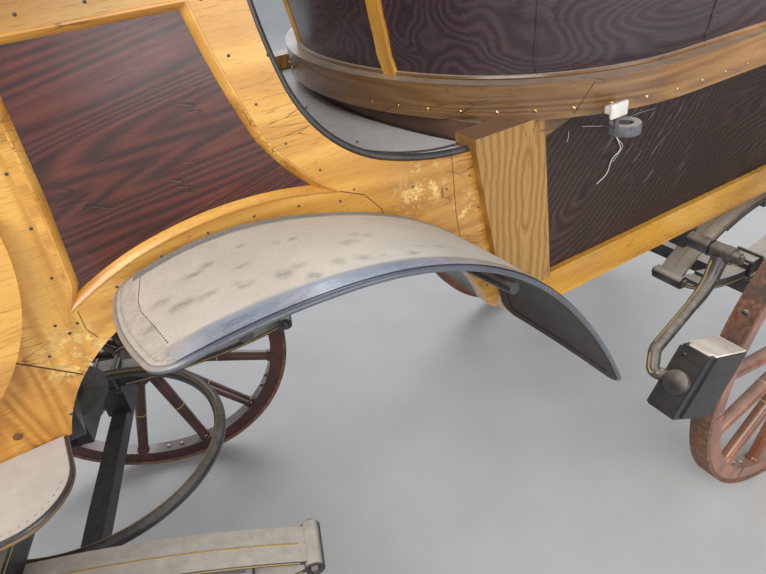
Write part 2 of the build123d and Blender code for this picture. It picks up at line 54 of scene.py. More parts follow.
def D(p):
    return ((p[0] + SX) / 1000.0, (p[1] + SY) / 1000.0, p[2] / 1000.0)


def F(p):
    """A point of the straight fore-carriage, king bolt at 0, at its place."""
    return D((KING_X + CS * p[0] + SN * p[1], -SN * p[0] + CS * p[1], p[2]))


# ------------------------------------------------------------------ materials
class Mat:
    """A principled material with short calls for its nodes."""

    def __init__(self, name):
        self.m = bpy.data.materials.new(name)
        self.m.use_nodes = True
        self.t = self.m.node_tree
        self.t.nodes.clear()
        out = self.t.nodes.new("ShaderNodeOutputMaterial")
        self.b = self.t.nodes.new("ShaderNodeBsdfPrincipled")
        self.t.links.new(self.b.outputs[0], out.inputs[0])

    def put(self, sock, v):
        if isinstance(v, bpy.types.NodeSocket):
            self.t.links.new(v, sock)
        else:
            sock.default_value = v

    def set(self, **k):
        for name, v in k.items():
            self.put(self.b.inputs[name.replace("_", " ")], v)

    def obj(self, scale=(1, 1, 1), rot=(0, 0, 0), loc=(0, 0, 0)):
        tc = self.t.nodes.new("ShaderNodeTexCoord")
        mp = self.t.nodes.new("ShaderNodeMapping")
        self.t.links.new(tc.outputs["Object"], mp.inputs["Vector"])
        if rot != (0, 0, 0):
            mr = self.t.nodes.new("ShaderNodeMapping")
            mr.inputs["Rotation"].default_value = [math.radians(a) for a in rot]
            self.t.links.new(tc.outputs["Object"], mr.inputs["Vector"])
            self.t.links.new(mr.outputs[0], mp.inputs["Vector"])
        mp.inputs["Scale"].default_value = scale
        mp.inputs["Location"].default_value = loc
        return mp.outputs[0]

    def noise(self, vec, scale=1.0, detail=3.0, rough=0.5, dist=0.0, color=False):
        n = self.t.nodes.new("ShaderNodeTexNoise")
        self.put(n.inputs["Vector"], vec)
        n.inputs["Scale"].default_value = scale
        n.inputs["Detail"].default_value = detail
        n.inputs["Roughness"].default_value = rough
        n.inputs["Distortion"].default_value = dist
        return n.outputs["Color" if color else "Fac"]

    def voronoi(self, vec, scale=1.0, feature="F1", out="Distance", rand=1.0):
        n = self.t.nodes.new("ShaderNodeTexVoronoi")
        n.feature = feature
        self.put(n.inputs["Vector"], vec)
        n.inputs["Scale"].default_value = scale
        n.inputs["Randomness"].default_value = rand
        return n.outputs[out]

    def math(self, op, a, b=0.0, c=0.0, clamp=False):
        n = self.t.nodes.new("ShaderNodeMath")
        n.operation = op
        n.use_clamp = clamp
        self.put(n.inputs[0], a)
        self.put(n.inputs[1], b)
        self.put(n.inputs[2], c)
        return n.outputs[0]

    def rng(self, v, a, b, lo=0.0, hi=1.0, smooth=False):
        n = self.t.nodes.new("ShaderNodeMapRange")
        n.interpolation_type = "SMOOTHSTEP" if smooth else "LINEAR"
        n.clamp = True
        for k, x in enumerate((v, a, b, lo, hi)):
            self.put(n.inputs[k], x)
        return n.outputs[0]

    def ramp(self, fac, stops):
        n = self.t.nodes.new("ShaderNodeValToRGB")
        e = n.color_ramp.elements
        while len(e) < len(stops):
            e.new(0.5)
        for k, (p, c) in enumerate(stops):
            e[k].position = p
            e[k].color = (*c, 1.0) if len(c) == 3 else c
        self.put(n.inputs[0], fac)
        return n.outputs[0]

    def mix(self, fac, a, b, mode="MIX"):
        n = self.t.nodes.new("ShaderNodeMix")
        n.data_type = "RGBA"
        n.blend_type = mode
        n.clamp_factor = True
        self.put(n.inputs[0], fac)
        self.put(n.inputs[6], (*a, 1.0) if isinstance(a, tuple) and len(a) == 3 else a)
        self.put(n.inputs[7], (*b, 1.0) if isinstance(b, tuple) and len(b) == 3 else b)
        return n.outputs[2]

    def mixf(self, fac, a, b):
        n = self.t.nodes.new("ShaderNodeMix")
        n.data_type = "FLOAT"
        n.clamp_factor = True
        self.put(n.inputs[0], fac)
        self.put(n.inputs[2], a)
        self.put(n.inputs[3], b)
        return n.outputs[0]

    def xyz(self, vec):
        n = self.t.nodes.new("ShaderNodeSeparateXYZ")
        self.put(n.inputs[0], vec)
        return n.outputs

    def up(self, a=0.55, b=0.95):
        """1 where the surface looks up, for dust."""
        g = self.t.nodes.new("ShaderNodeNewGeometry")
        return self.rng(self.xyz(g.outputs["Normal"])[2], a, b, smooth=True)

    def near(self, point_mm, r0, r1):
        """1 within r0 of a drawing-frame point, 0 beyond r1 (mm)."""
        tc = self.t.nodes.new("ShaderNodeTexCoord")
        n = self.t.nodes.new("ShaderNodeVectorMath")
        n.operation = "DISTANCE"
        self.t.links.new(tc.outputs["Object"], n.inputs[0])
        n.inputs[1].default_value = D(point_mm)
        return self.rng(n.outputs["Value"], r0 / 1000.0, r1 / 1000.0, 1.0, 0.0, smooth=True)

    def attr(self, name):
        n = self.t.nodes.new("ShaderNodeAttribute")
        n.attribute_name = name
        return n.outputs["Fac"]

    def bump(self, height, strength=0.3, dist=0.001, normal=None):
        n = self.t.nodes.new("ShaderNodeBump")
        n.inputs["Strength"].default_value = strength
        n.inputs["Distance"].default_value = dist
        self.put(n.inputs["Height"], height)
        if normal is not None:
            self.put(n.inputs["Normal"], normal)
        self.put(self.b.inputs["Normal"], n.outputs[0])
        return n.outputs[0]


AX = {"X": (1, 0, 0), "Y": (0, 1, 0), "Z": (0, 0, 1), "LEVEL": (1, 1, 0)}


def stretched(axis, along, across):
    return tuple(along if a else across for a in AX[axis])


def grain(m, axis, rings, seed=0.0, rot=(0, 0, 0), low=(0.9, 7.0), dist=0.25):
    """(flowing growth lines 0..1, fine fibre 0..1) for wood that runs along axis."""
    v = m.obj(stretched(axis, *low), rot, (seed, seed * 1.7, seed * 0.6))
    n = m.noise(v, 1.0, 2.0, 0.45, dist)
    lines = m.math("SINE", m.math("MULTIPLY", n, rings))
    lines = m.math("MULTIPLY_ADD", lines, 0.5, 0.5)
    fibre = m.noise(m.obj(stretched(axis, 9.0, 260.0), rot, (seed, 0, seed)), 1.0, 4.0, 0.62)
    return lines, fibre


def figure(m, point, angle, squeeze, freq, wobble, thin=0.45):
    """Nested pointed rings of a flat-sawn board round a point, thin dark lines."""
    tc = m.t.nodes.new("ShaderNodeTexCoord")
    n = m.t.nodes.new("ShaderNodeVectorMath")
    n.operation = "SUBTRACT"
    m.t.links.new(tc.outputs["Object"], n.inputs[0])
    n.inputs[1].default_value = D((point[0], -400, point[1]))
    p = m.xyz(n.outputs[0])
    c, d = math.cos(math.radians(angle)), math.sin(math.radians(angle))
    along = m.math("ADD", m.math("MULTIPLY", p[0], c), m.math("MULTIPLY", p[2], d))
    over = m.math("ADD", m.math("MULTIPLY", p[0], -d), m.math("MULTIPLY", p[2], c))
    along = m.math("MULTIPLY", along, squeeze)
    r = m.math("SQRT", m.math("ADD", m.math("MULTIPLY", along, along), m.math("MULTIPLY", over, over)))
    big = m.noise(m.obj((5, 9, 9), loc=(point[0] * 0.01, 1, 2)), 1.0, 2.0, 0.5)
    fine = m.noise(m.obj((30, 60, 60), loc=(3, 1, 2)), 1.0, 2.0, 0.5)
    r = m.math("ADD", r, m.math("ADD", m.math("MULTIPLY_ADD", big, wobble, -0.5 * wobble), m.math("MULTIPLY_ADD", fine, wobble * 0.12, -0.06 * wobble)))
    wave = m.math("MULTIPLY_ADD", m.math("SINE", m.math("MULTIPLY", r, freq)), 0.5, 0.5, clamp=True)
    return m.math("POWER", wave, thin)


def wood(name, stops, axis="X", rings=60.0, seed=0.0, rot=(0, 0, 0), low=(0.9, 7.0), fibre=0.45, pores=0.5, rough=(0.25, 0.45),
         coat=0.3, tint=None, bump=0.25, zones=(), flakes=(), dust=0.0, streaks=0.0, worn=0.0, dist=0.25, fig=None, painted_shade=(), fade=None, scratch=None, end=None):
    """Varnished wood: growth lines, fibre, pores, blotches, cracks, dust, and painted shade darkening round given
    points.
    """
    m = Mat(name)
    lines, fib = grain(m, axis, rings, seed, rot, low, dist)
    if fig:
        point, angle, squeeze, freq, wobble, r0, r1 = fig
        lines = m.mixf(m.near((point[0], -400, point[1]), r0, r1), lines, figure(m, point, angle, squeeze, freq, wobble))
    shade = None
    for k, (zaxis, planes, zrings, zshade) in enumerate(zones):
        # another board of the piece: where a*x + b*z > c (mm) for each plane
        l2, f2 = grain(m, zaxis, zrings, seed + 3.1 + k, rot, low, dist)
        xyz = m.xyz(m.obj())
        inside = None
        for a, b, c in planes:
            side = m.math("ADD", m.math("MULTIPLY", xyz[0], a * 1000.0), m.math("MULTIPLY", xyz[2], b * 1000.0))
            side = m.math("GREATER_THAN", side, c + a * SX)
            inside = side if inside is None else m.math("MULTIPLY", inside, side)
        lines, fib = m.mixf(inside, lines, l2), m.mixf(inside, fib, f2)
        shade = m.mixf(inside, 0.0 if shade is None else shade, zshade)
    f = m.math("ADD", m.math("MULTIPLY", lines, 1.0 - fibre), m.math("MULTIPLY", fib, fibre))
    blot = m.noise(m.obj((2.3, 2.3, 2.3), loc=(seed, 2, 5)), 1.0, 3.0, 0.6)
    f = m.math("ADD", f, m.math("MULTIPLY_ADD", blot, 0.55, -0.275))
    col = m.ramp(f, stops)
    if shade is not None:
        col = m.mix(shade, col, (0.50, 0.26, 0.07), "MULTIPLY")
    pore = m.noise(m.obj(stretched(axis, 40.0, 900.0), rot, (1, 4, seed)), 1.0, 2.0, 0.5)
    pmask = m.rng(pore, 0.30, 0.42, pores, 0.0)
    dark = tuple(c * 0.32 for c in stops[0][1])
    col = m.mix(pmask, col, dark)
    if tint is not None:
        big = m.noise(m.obj((4, 4, 4), loc=(9, seed, 3)), 1.0, 2.0)
        col = m.mix(m.rng(big, 0.45, 0.75, 0.0, 0.5), col, tint)
    # painted shade: the colour is darkened round these points, where shade falls on the frame
    for point, r0, r1, tone in painted_shade:
        col = m.mix(m.near(point, r0, r1), col, m.mix(1.0, col, tone, "MULTIPLY"))
    if fade:
        x0, x1, tone = fade
        col = m.mix(m.rng(m.xyz(m.obj())[0], (x0 + SX) / 1000, (x1 + SX) / 1000, 1.0, 0.0, smooth=True), col, m.mix(1.0, col, tone, "MULTIPLY"))
    if end:
        col = m.mix(m.up(0.5, 0.9), col, end)
    # short dark drying cracks along the grain
    crack = m.voronoi(m.obj(stretched(axis, 10.0, 75.0), rot, (seed, 3, 1)), 1.0, "DISTANCE_TO_EDGE")
    gate = m.rng(m.noise(m.obj((11, 11, 11), loc=(5, seed, 1)), 1.0, 2.0), 0.56, 0.64)
    cmask = m.math("MULTIPLY", m.rng(crack, 0.012, 0.03, 1.0, 0.0), gate)
    col = m.mix(m.math("MULTIPLY", cmask, 0.55 + worn * 0.3), col, tuple(c * 0.25 for c in stops[0][1]))
    height = m.math("ADD", m.math("MULTIPLY", fib, 0.55), m.math("MULTIPLY", lines, 0.2))
    height = m.math("SUBTRACT", height, m.math("ADD", m.math("MULTIPLY", pmask, 0.35), m.math("MULTIPLY", cmask, 0.8)))
    rgh = m.rng(m.noise(m.obj((14, 14, 14), loc=(2, 2, seed)), 1.0, 4.0, 0.65), 0.3, 0.7, rough[0], rough[1])
    for p, r in flakes:
        # old varnish lifting in small curled flakes
        cell = m.voronoi(m.obj((150, 150, 150)), 1.0, "F1", "Color")
        pick = m.rng(m.noise(m.obj((85, 85, 85)), 1.0, 3.0, 0.7), 0.50, 0.56)
        mask = m.math("MULTIPLY", m.near(p, r * 0.35, r), pick)
        col = m.mix(m.math("MULTIPLY", mask, 0.8), col, m.mix(m.xyz(cell)[0], (0.92, 0.66, 0.22), (0.42, 0.23, 0.07)))
        rgh = m.math("ADD", rgh, m.math("MULTIPLY", mask, 0.25), clamp=True)
        height = m.math("ADD", height, m.math("MULTIPLY", mask, 1.4))
    if streaks:
        s = m.noise(m.obj((60, 60, 5), (0, 24, 0), (4, 1, seed)), 1.0, 3.0, 0.6)
        smask = m.math("MULTIPLY", m.rng(s, 0.60, 0.72), m.rng(m.noise(m.obj((5, 5, 5)), 1.0), 0.42, 0.6))
        col = m.mix(m.math("MULTIPLY", smask, streaks), col, (0.46, 0.42, 0.38))
        rgh = m.math("ADD", rgh, m.math("MULTIPLY", smask, 0.2), clamp=True)
    if scratch:
        # short pale scratches
        point, angle, r0, r1 = scratch
        sc = m.noise(m.obj((16, 60, 230), (0, angle, 0), (2, 5, 1)), 1.0, 2.0, 0.5)
        smask = m.math("MULTIPLY", m.rng(sc, 0.66, 0.70), m.near((point[0], -400, point[1]), r0, r1))
        col = m.mix(m.math("MULTIPLY", smask, 0.34), col, (0.52, 0.49, 0.47))
        rgh = m.math("ADD", rgh, m.math("MULTIPLY", smask, 0.2), clamp=True)
    if dust:
        dn = m.rng(m.noise(m.obj((30, 30, 30)), 1.0, 5.0, 0.7), 0.3, 0.7, 0.55, 1.0)
        dm = m.math("MULTIPLY", m.math("MULTIPLY", m.up(), dn), dust)
        col = m.mix(dm, col, (0.55, 0.49, 0.41))
        rgh = m.mixf(dm, rgh, 0.85)
    m.set(Base_Color=col, Roughness=rgh)
    m.b.inputs["Coat Weight"].default_value = coat
    m.b.inputs["Coat Roughness"].default_value = 0.16
    m.bump(height, bump, 0.0009)
    return m.m


GOLD = [(0.0, (0.33, 0.13, 0.019)), (0.25, (0.56, 0.255, 0.038)), (0.6, (0.72, 0.365, 0.067)), (1.0, (0.84, 0.485, 0.115))]
ROSE = [(0.0, (0.012, 0.004, 0.004)), (0.30, (0.038, 0.009, 0.008)), (0.62, (0.105, 0.023, 0.015)), (1.0, (0.21, 0.052, 0.030))]
TEAK = [(0.0, (0.20, 0.092, 0.018)), (0.35, (0.30, 0.148, 0.030)), (0.7, (0.39, 0.205, 0.046)), (1.0, (0.50, 0.29, 0.080))]
FLOORW = [(0.0, (0.10, 0.05, 0.022)), (0.4, (0.21, 0.12, 0.055)), (1.0, (0.37, 0.24, 0.13))]
BLACKW = [(0.0, (0.008, 0.007, 0.006)), (0.5, (0.016, 0.014, 0.013)), (1.0, (0.034, 0.030, 0.026))]
SHAFTW = [(0.0, (0.055, 0.014, 0.008)), (0.5, (0.12, 0.035, 0.016)), (1.0, (0.22, 0.075, 0.032))]
WHEELW = [(0.0, (0.025, 0.007, 0.006)), (0.5, (0.060, 0.016, 0.012)), (1.0, (0.118, 0.032, 0.020))]
WHEELR = [(0.0, (0.10, 0.028, 0.012)), (0.5, (0.24, 0.072, 0.026)), (1.0, (0.40, 0.14, 0.05))]

# the golden frame is darkened round three points, at its middle, its top and under the panel: painted shade
m_gold = wood("golden_frame", GOLD, "X", 90, 1.3, zones=(("Z", ((-1.0, 0.0, -168.0),), 120, 0.0), ("Z", ((-0.66, -0.75, -925.6),), 230, 0.34)),
              flakes=(((655, -400, 1190), 62), ((740, -400, 1130), 40), ((150, -400, 1140), 60), ((640, 400, 1180), 62)), tint=(0.78, 0.41, 0.075), rough=(0.22, 0.42), coat=0.40, worn=0.4,
              low=(0.5, 6.0), dist=0.05, fibre=0.56, painted_shade=(((700, -400, 1172), 60, 200, (0.74, 0.70, 0.70)), ((240, -400, 1520), 50, 190, (0.60, 0.58, 0.62)), ((330, -400, 1225), 60, 190, (0.86, 0.84, 0.92))))
m_gold_x = wood("golden_rail", GOLD, "X", 60, 4.1, tint=(0.74, 0.36, 0.07), rough=(0.2, 0.4), coat=0.5, low=(0.6, 6.0), dist=0.08)
m_sill = wood("amber_sill", [(0.0, (0.36, 0.15, 0.02)), (0.3, (0.58, 0.28, 0.035)), (0.7, (0.72, 0.38, 0.055)), (1.0, (0.80, 0.46, 0.09))], "X", 60, 5.1, rough=(0.2, 0.36), coat=0.5, low=(0.5, 5.0), dist=0.05, fibre=0.6)
m_gold_z = wood("golden_upright", GOLD, "Z", 52, 6.1, rough=(0.25, 0.42), coat=0.4)
m_gold_warm = wood("tub_rail_wood", [(0.0, (0.13, 0.060, 0.022)), (0.35, (0.26, 0.125, 0.040)), (0.7, (0.36, 0.185, 0.060)), (1.0, (0.50, 0.29, 0.11))], "LEVEL", 70, 2.2,
                   rough=(0.18, 0.36), coat=0.45, dust=0.45, worn=0.3, low=(1.3, 16.0), dist=0.04, fibre=0.5, tint=(0.50, 0.24, 0.06), fade=(760, 1250, (0.53, 0.55, 0.69)))
m_rose = wood("rosewood_front", ROSE, "X", 260, 2.7, rot=(0, 10, 0), low=(0.55, 7.5), rough=(0.22, 0.40), coat=0.45, fibre=0.66, dist=0.05, worn=0.3)
m_rose_tub = wood("rosewood_tub", [(0.0, (0.020, 0.015, 0.020)), (0.35, (0.040, 0.026, 0.033)), (0.7, (0.074, 0.044, 0.050)), (1.0, (0.13, 0.070, 0.070))], "X", 150, 8.7, low=(0.7, 6.5), rough=(0.26, 0.40), coat=0.22,
                  fibre=0.62, dist=0.1)
m_rose_low = wood("rosewood_lower", [(0.0, (0.006, 0.003, 0.0022)), (0.35, (0.015, 0.006, 0.0042)), (0.7, (0.040, 0.0155, 0.0095)), (1.0, (0.108, 0.047, 0.027))], "X", 250, 5.2,
                  low=(0.8, 5.5), rough=(0.44, 0.60), coat=0.0, fibre=0.42, dist=0.12, fig=((1048, 1095), 41, 0.30, 480, 0.045, 240, 560), scratch=((1190, 1120), 41, 40, 200))
m_teak = wood("teak_post", TEAK, "Z", 210, 3.3, low=(0.95, 5.0), rough=(0.34, 0.5), coat=0.15, fibre=0.40, dist=0.08, fig=((850, 1115), 90, 0.13, 470, 0.026, 300, 500), end=(0.17, 0.085, 0.04))
m_floorw = wood("floor_boards", FLOORW, "X", 40, 7.7, rough=(0.45, 0.65), coat=0.05, dust=0.5)
# boards that stand across the carriage, with their grain from side to side
m_toe = wood("toe_board_wood", FLOORW, "Y", 60, 7.7, rough=(0.45, 0.65), coat=0.05, dust=0.5, low=(0.5, 9.0), dist=0.05, fibre=0.55)
m_rose_box = wood("rosewood_box", ROSE, "Z", 200, 3.9, low=(0.5, 7.5), rough=(0.24, 0.40), coat=0.4, fibre=0.62, dist=0.06)
m_rose_tail = wood("rosewood_tail", [(0.0, (0.008, 0.004, 0.003)), (0.35, (0.021, 0.0085, 0.006)), (0.7, (0.052, 0.0205, 0.013)), (1.0, (0.125, 0.056, 0.032))], "Y", 200, 4.4,
                   low=(0.6, 6.5), rough=(0.38, 0.54), coat=0.05, fibre=0.5, dist=0.1)
m_lining = wood("riser_board", [(0.0, (0.045, 0.020, 0.012)), (0.4, (0.085, 0.040, 0.022)), (0.75, (0.13, 0.066, 0.038)), (1.0, (0.19, 0.105, 0.062))], "Y", 40, 1.9,
                rough=(0.3, 0.5), coat=0.2, dust=0.3)
m_blackw = wood("black_timber", BLACKW, "Y", 30, 2.0, rough=(0.3, 0.5), coat=0.3, dust=0.75)
m_shaft = wood("shaft_wood", SHAFTW, "X", 40, 5.0, rot=(0, 0, STEER), rough=(0.2, 0.35), coat=0.6)
m_wheel = wood("wheel_maroon", WHEELW, "X", 22, 6.0, low=(5, 9), rough=(0.24, 0.42), coat=0.45, dust=0.25, fibre=0.6)
m_wheel_r = wood("wheel_orange", WHEELR, "Z", 22, 9.0, low=(5, 9), rough=(0.2, 0.4), coat=0.5, dust=0.35, fibre=0.6)


def iron(name, base=(0.012, 0.012, 0.013), dust=0.75, rough=(0.22, 0.4), rust=0.0, metal=0.0, coat=0.3, film=0.22, dust_col=(0.34, 0.30, 0.255), even=0.35):
    """Black painted iron with brush marks, rust blooms and dust on top."""
    m = Mat(name)
    n = m.noise(m.obj((26, 26, 26)), 1.0, 5.0, 0.65)
    col = m.ramp(n, [(0.3, tuple(c * 0.7 for c in base)), (0.7, tuple(c * 1.8 + 0.004 for c in base))])
    rgh = m.rng(n, 0.3, 0.7, rough[0], rough[1])
    if rust:
        r = m.noise(m.obj((16, 16, 16), loc=(3, 8, 1)), 1.0, 8.0, 0.72)
        rm = m.rng(r, 0.62 - rust * 0.25, 0.70 - rust * 0.2)
        rc = m.ramp(m.noise(m.obj((90, 90, 90)), 1.0, 5.0, 0.7), [(0.3, (0.085, 0.032, 0.016)), (0.55, (0.20, 0.085, 0.04)), (0.75, (0.34, 0.20, 0.13))])
        col = m.mix(rm, col, rc)
        rgh = m.mixf(rm, rgh, 0.82)
    dn = m.rng(m.noise(m.obj((48, 48, 48), loc=(1, 1, 4)), 1.0, 6.0, 0.72), 0.28, 0.62, even, 1.0)
    dm = m.math("MULTIPLY", m.math("MULTIPLY", m.up(0.35, 0.92), dn), dust)
    film = m.rng(m.noise(m.obj((7, 7, 7), loc=(0, 5, 4)), 1.0, 4.0, 0.6), 0.45, 0.8, 0.0, film)
    dm = m.math("MAXIMUM", dm, film)
    col = m.mix(dm, col, dust_col)
    rgh = m.mixf(dm, rgh, 0.9)
    m.set(Base_Color=col, Roughness=rgh)
    m.b.inputs["Metallic"].default_value = metal
    m.b.inputs["Coat Weight"].default_value = coat
    m.b.inputs["Coat Roughness"].default_value = 0.2
    m.bump(m.math("ADD", n, m.math("MULTIPLY", dm, 0.5)), 0.22, 0.0012)
    return m.m


m_iron = iron("black_iron")
m_axle = iron("axle_iron", dust=0.35, rough=(0.35, 0.55), coat=0.1, film=0.12)
m_iron_dusty = iron("black_iron_dusty", dust=0.98, even=0.72, rough=(0.35, 0.55), coat=0.1, dust_col=(0.62, 0.555, 0.475))
m_brake = iron("brake_iron", base=(0.016, 0.015, 0.015), dust=0.8, rust=0.25)
m_block = iron("block_iron", base=(0.007, 0.007, 0.008), dust=0.30, rough=(0.38, 0.55), coat=0.1, film=0.06)
m_tyre = iron("iron_tyre", base=(0.045, 0.028, 0.022), dust=0.35, rust=1.0, rough=(0.5, 0.75), coat=0.0)
m_bolt = iron("bolt_head", base=(0.03, 0.026, 0.022), dust=0.6, rust=0.5, rough=(0.3, 0.5))


def leather(name, base, dust=0.0, dust_col=(0.40, 0.355, 0.30), rough=(0.3, 0.5), scale=420.0, coat=0.1, film=0.0, smudge=None, crease=0.35, up=(0.45, 0.9), dust_x=None, band=None):
    m = Mat(name)
    cells = m.voronoi(m.obj((1, 1, 1)), scale, "DISTANCE_TO_EDGE")
    pebble = m.rng(cells, 0.0, 0.22)
    wr = m.noise(m.obj((1, 1, 1)), 26.0, 7.0, 0.7, 0.6)
    big = m.noise(m.obj((1, 1, 1), loc=(4, 2, 8)), 6.0, 4.0, 0.6)
    col = m.ramp(m.math("ADD", m.math("MULTIPLY", wr, 0.6), m.math("MULTIPLY", big, 0.4)), [(0.32, tuple(c * 0.55 for c in base)), (0.68, tuple(min(1.0, c * 1.5) for c in base))])
    rgh = m.rng(wr, 0.3, 0.7, rough[0], rough[1])
    height = m.math("ADD", m.math("MULTIPLY", pebble, 0.5), m.math("MULTIPLY", wr, crease))
    bare = None
    # band colours the strip worn clean of dust; the guard gives it a painted sky reflection on black leather
    if band:
        bare = m.attr("band")
        col = m.mix(bare, col, band)
        rgh = m.mixf(bare, rgh, 0.24)
    if dust or film:
        fine = m.noise(m.obj((1, 1, 1), loc=(7, 7, 2)), 480.0, 3.0, 0.8)
        mot = m.noise(m.obj((1, 1, 1), loc=(1, 3, 2)), 34.0, 6.0, 0.72)
        patch = m.noise(m.obj((1, 1, 1), loc=(8, 3, 2)), 7.0, 3.0, 0.6)
        amount = m.rng(m.math("ADD", m.math("MULTIPLY", mot, 0.55), m.math("MULTIPLY", patch, 0.45)), 0.28, 0.55, 0.72, 1.0)
        dm = m.math("MULTIPLY", m.math("MULTIPLY", m.up(*up), amount), dust)
        dm = m.math("MULTIPLY", dm, m.rng(fine, 0.30, 0.52, 0.78, 1.0))
        if smudge:
            sm = m.math("MULTIPLY", m.attr(smudge), m.rng(m.noise(m.obj((1, 1, 1), loc=(5, 1, 6)), 95.0, 4.0, 0.7), 0.36, 0.60, 0.25, 1.25))
            dm = m.math("MULTIPLY", dm, m.rng(sm, 0.0, 1.0, 1.0, 0.50))
        if band:
            dm = m.math("MULTIPLY", dm, m.math("MULTIPLY_ADD", bare, -0.93, 1.0))
        if dust_x:
            x = m.xyz(m.obj())[0]
            dm = m.math("MULTIPLY", dm, m.rng(x, (dust_x[0] + SX) / 1000, (dust_x[1] + SX) / 1000, 1.0, 0.08, smooth=True))
        if film:
            dm = m.math("MAXIMUM", dm, m.rng(m.noise(m.obj((1, 1, 1), loc=(3, 3, 9)), 12.0, 5.0, 0.7), 0.42, 0.75, film * 0.25, film))
        dcol = m.mix(m.rng(mot, 0.3, 0.7), dust_col, tuple(c * 0.74 for c in dust_col))
        col = m.mix(dm, col, dcol)
        rgh = m.mixf(dm, rgh, 0.92)
        height = m.math("ADD", height, m.math("MULTIPLY", m.math("MULTIPLY", fine, dm), 0.7))
    m.set(Base_Color=col, Roughness=rgh)
    m.b.inputs["Coat Weight"].default_value = coat
    m.b.inputs["Coat Roughness"].default_value = 0.22
    m.bump(height, 0.35, 0.0007)
    return m.m


# the guard's bare strip takes a blue-grey colour that is a painted sky reflection on black leather; the dust and its
# marks are real
m_guard = leather("guard_leather", (0.15, 0.14, 0.125), dust=0.96, dust_col=(0.80, 0.72, 0.61), smudge="smudge", up=(-0.25, 0.25), band=(0.27, 0.32, 0.41))
m_guard_under = leather("guard_underside", (0.020, 0.014, 0.011), rough=(0.42, 0.6), film=0.05, coat=0.05, scale=300)
# the black binding's slight blue tint is a painted sky reflection; the dust towards the front is real
m_binding = leather("rolled_binding", (0.055, 0.066, 0.090), rough=(0.16, 0.28), film=0.08, coat=0.8, scale=300, dust=0.7, dust_x=(215, 260), up=(0.0, 0.6), dust_col=(0.52, 0.50, 0.47), crease=0.2)
# the blue-grey colour of the black patent hem is a painted sky reflection; its dust towards the front is real
m_patent_sky_sheen = leather("patent_binding_sky_sheen", (0.27, 0.32, 0.41), dust=0.85, dust_x=(215, 300), up=(0.1, 0.7), rough=(0.2, 0.32), scale=260, coat=0.9, film=0.06, dust_col=(0.56, 0.54, 0.50), crease=0.2)
m_hem_far = leather("inner_hem", (0.20, 0.20, 0.185), dust=0.5, dust_col=(0.34, 0.335, 0.31), rough=(0.45, 0.6), scale=300, coat=0.1, film=0.3, up=(-0.2, 0.4))
m_black_leather = leather("black_leather", (0.018, 0.017, 0.017), rough=(0.25, 0.42), film=0.22, dust=0.3, coat=0.4)
m_seat = leather("seat_leather", (0.075, 0.016, 0.013), rough=(0.28, 0.46), scale=330, coat=0.25, film=0.06, crease=0.5)
m_mat = leather("floor_mat", (0.30, 0.285, 0.265), dust=0.88, dust_col=(0.70, 0.655, 0.60), rough=(0.6, 0.8), scale=520, coat=0.0, film=0.3, up=(0.2, 0.7))
m_well = leather("footwell_mat", (0.27, 0.26, 0.25), dust=0.9, dust_col=(0.62, 0.585, 0.56), rough=(0.5, 0.7), scale=520, coat=0.1, film=0.3, up=(0.2, 0.7))
m_piping = leather("black_piping", (0.012, 0.013, 0.015), rough=(0.2, 0.35), scale=300, coat=0.6, film=0.18)


def plain(name, stops, scale=60.0, rough=(0.3, 0.5), metal=0.0, coat=0.0, bump=0.2, dust=0.0, spec=0.5):
    m = Mat(name)
    n = m.noise(m.obj((1, 1, 1)), scale, 5.0, 0.65)
    col = m.ramp(n, stops)
    rgh = m.rng(n, 0.3, 0.7, rough[0], rough[1])
    if dust:
        dm = m.math("MULTIPLY", m.math("MULTIPLY", m.up(0.4, 0.95), m.rng(m.noise(m.obj((1, 1, 1), loc=(2, 2, 2)), 45.0, 5.0), 0.3, 0.6, 0.5, 1.0)), dust)
        col = m.mix(dm, col, (0.42, 0.38, 0.33))
        rgh = m.mixf(dm, rgh, 0.9)
    m.set(Base_Color=col, Roughness=rgh)
    m.b.inputs["Metallic"].default_value = metal
    m.b.inputs["Coat Weight"].default_value = coat
    m.b.inputs["Specular IOR Level"].default_value = spec
    m.bump(n, bump, 0.0006)
    return m.m


m_brass = plain("brass", [(0.3, (0.42, 0.27, 0.09)), (0.7, (0.78, 0.58, 0.27))], 40, (0.18, 0.42), metal=1.0, dust=0.25)
m_goldline = plain("gold_line", [(0.3, (0.50, 0.33, 0.09)), (0.7, (0.74, 0.54, 0.20))], 300, (0.35, 0.55), metal=0.25, dust=0.25)
m_thread = plain("stitch_thread", [(0.3, (0.16, 0.14, 0.12)), (0.7, (0.33, 0.30, 0.26))], 900, (0.7, 0.9))
m_thread_dark = plain("stitch_dark", [(0.3, (0.035, 0.03, 0.027)), (0.7, (0.10, 0.085, 0.07))], 900, (0.6, 0.85))
m_thread_guard = plain("guard_thread", [(0.3, (0.22, 0.23, 0.25)), (0.7, (0.46, 0.47, 0.49))], 900, (0.6, 0.85))
m_gap = plain("joint_line", [(0.3, (0.035, 0.016, 0.008)), (0.7, (0.10, 0.045, 0.02))], 500, (0.7, 0.9))
m_plug = plain("bolt_plug", [(0.3, (0.09, 0.035, 0.012)), (0.7, (0.22, 0.10, 0.035))], 500, (0.5, 0.7))
m_white_tab = plain("white_tab", [(0.3, (0.62, 0.60, 0.55)), (0.7, (0.82, 0.80, 0.75))], 80, (0.4, 0.6), dust=0.4)
m_rubber = plain("black_ring", [(0.3, (0.05, 0.052, 0.06)), (0.7, (0.16, 0.165, 0.18))], 160, (0.5, 0.8), dust=1.4)
m_web = plain("cobweb", [(0.3, (0.62, 0.62, 0.60)), (0.7, (0.80, 0.80, 0.78))], 200, (0.7, 0.9))
m_dusty_wood = wood("block_top", [(0.0, (0.60, 0.52, 0.43)), (0.5, (0.82, 0.73, 0.62)), (1.0, (0.94, 0.88, 0.79))], "Y", 60, 2.0, rough=(0.7, 0.9), coat=0.0)


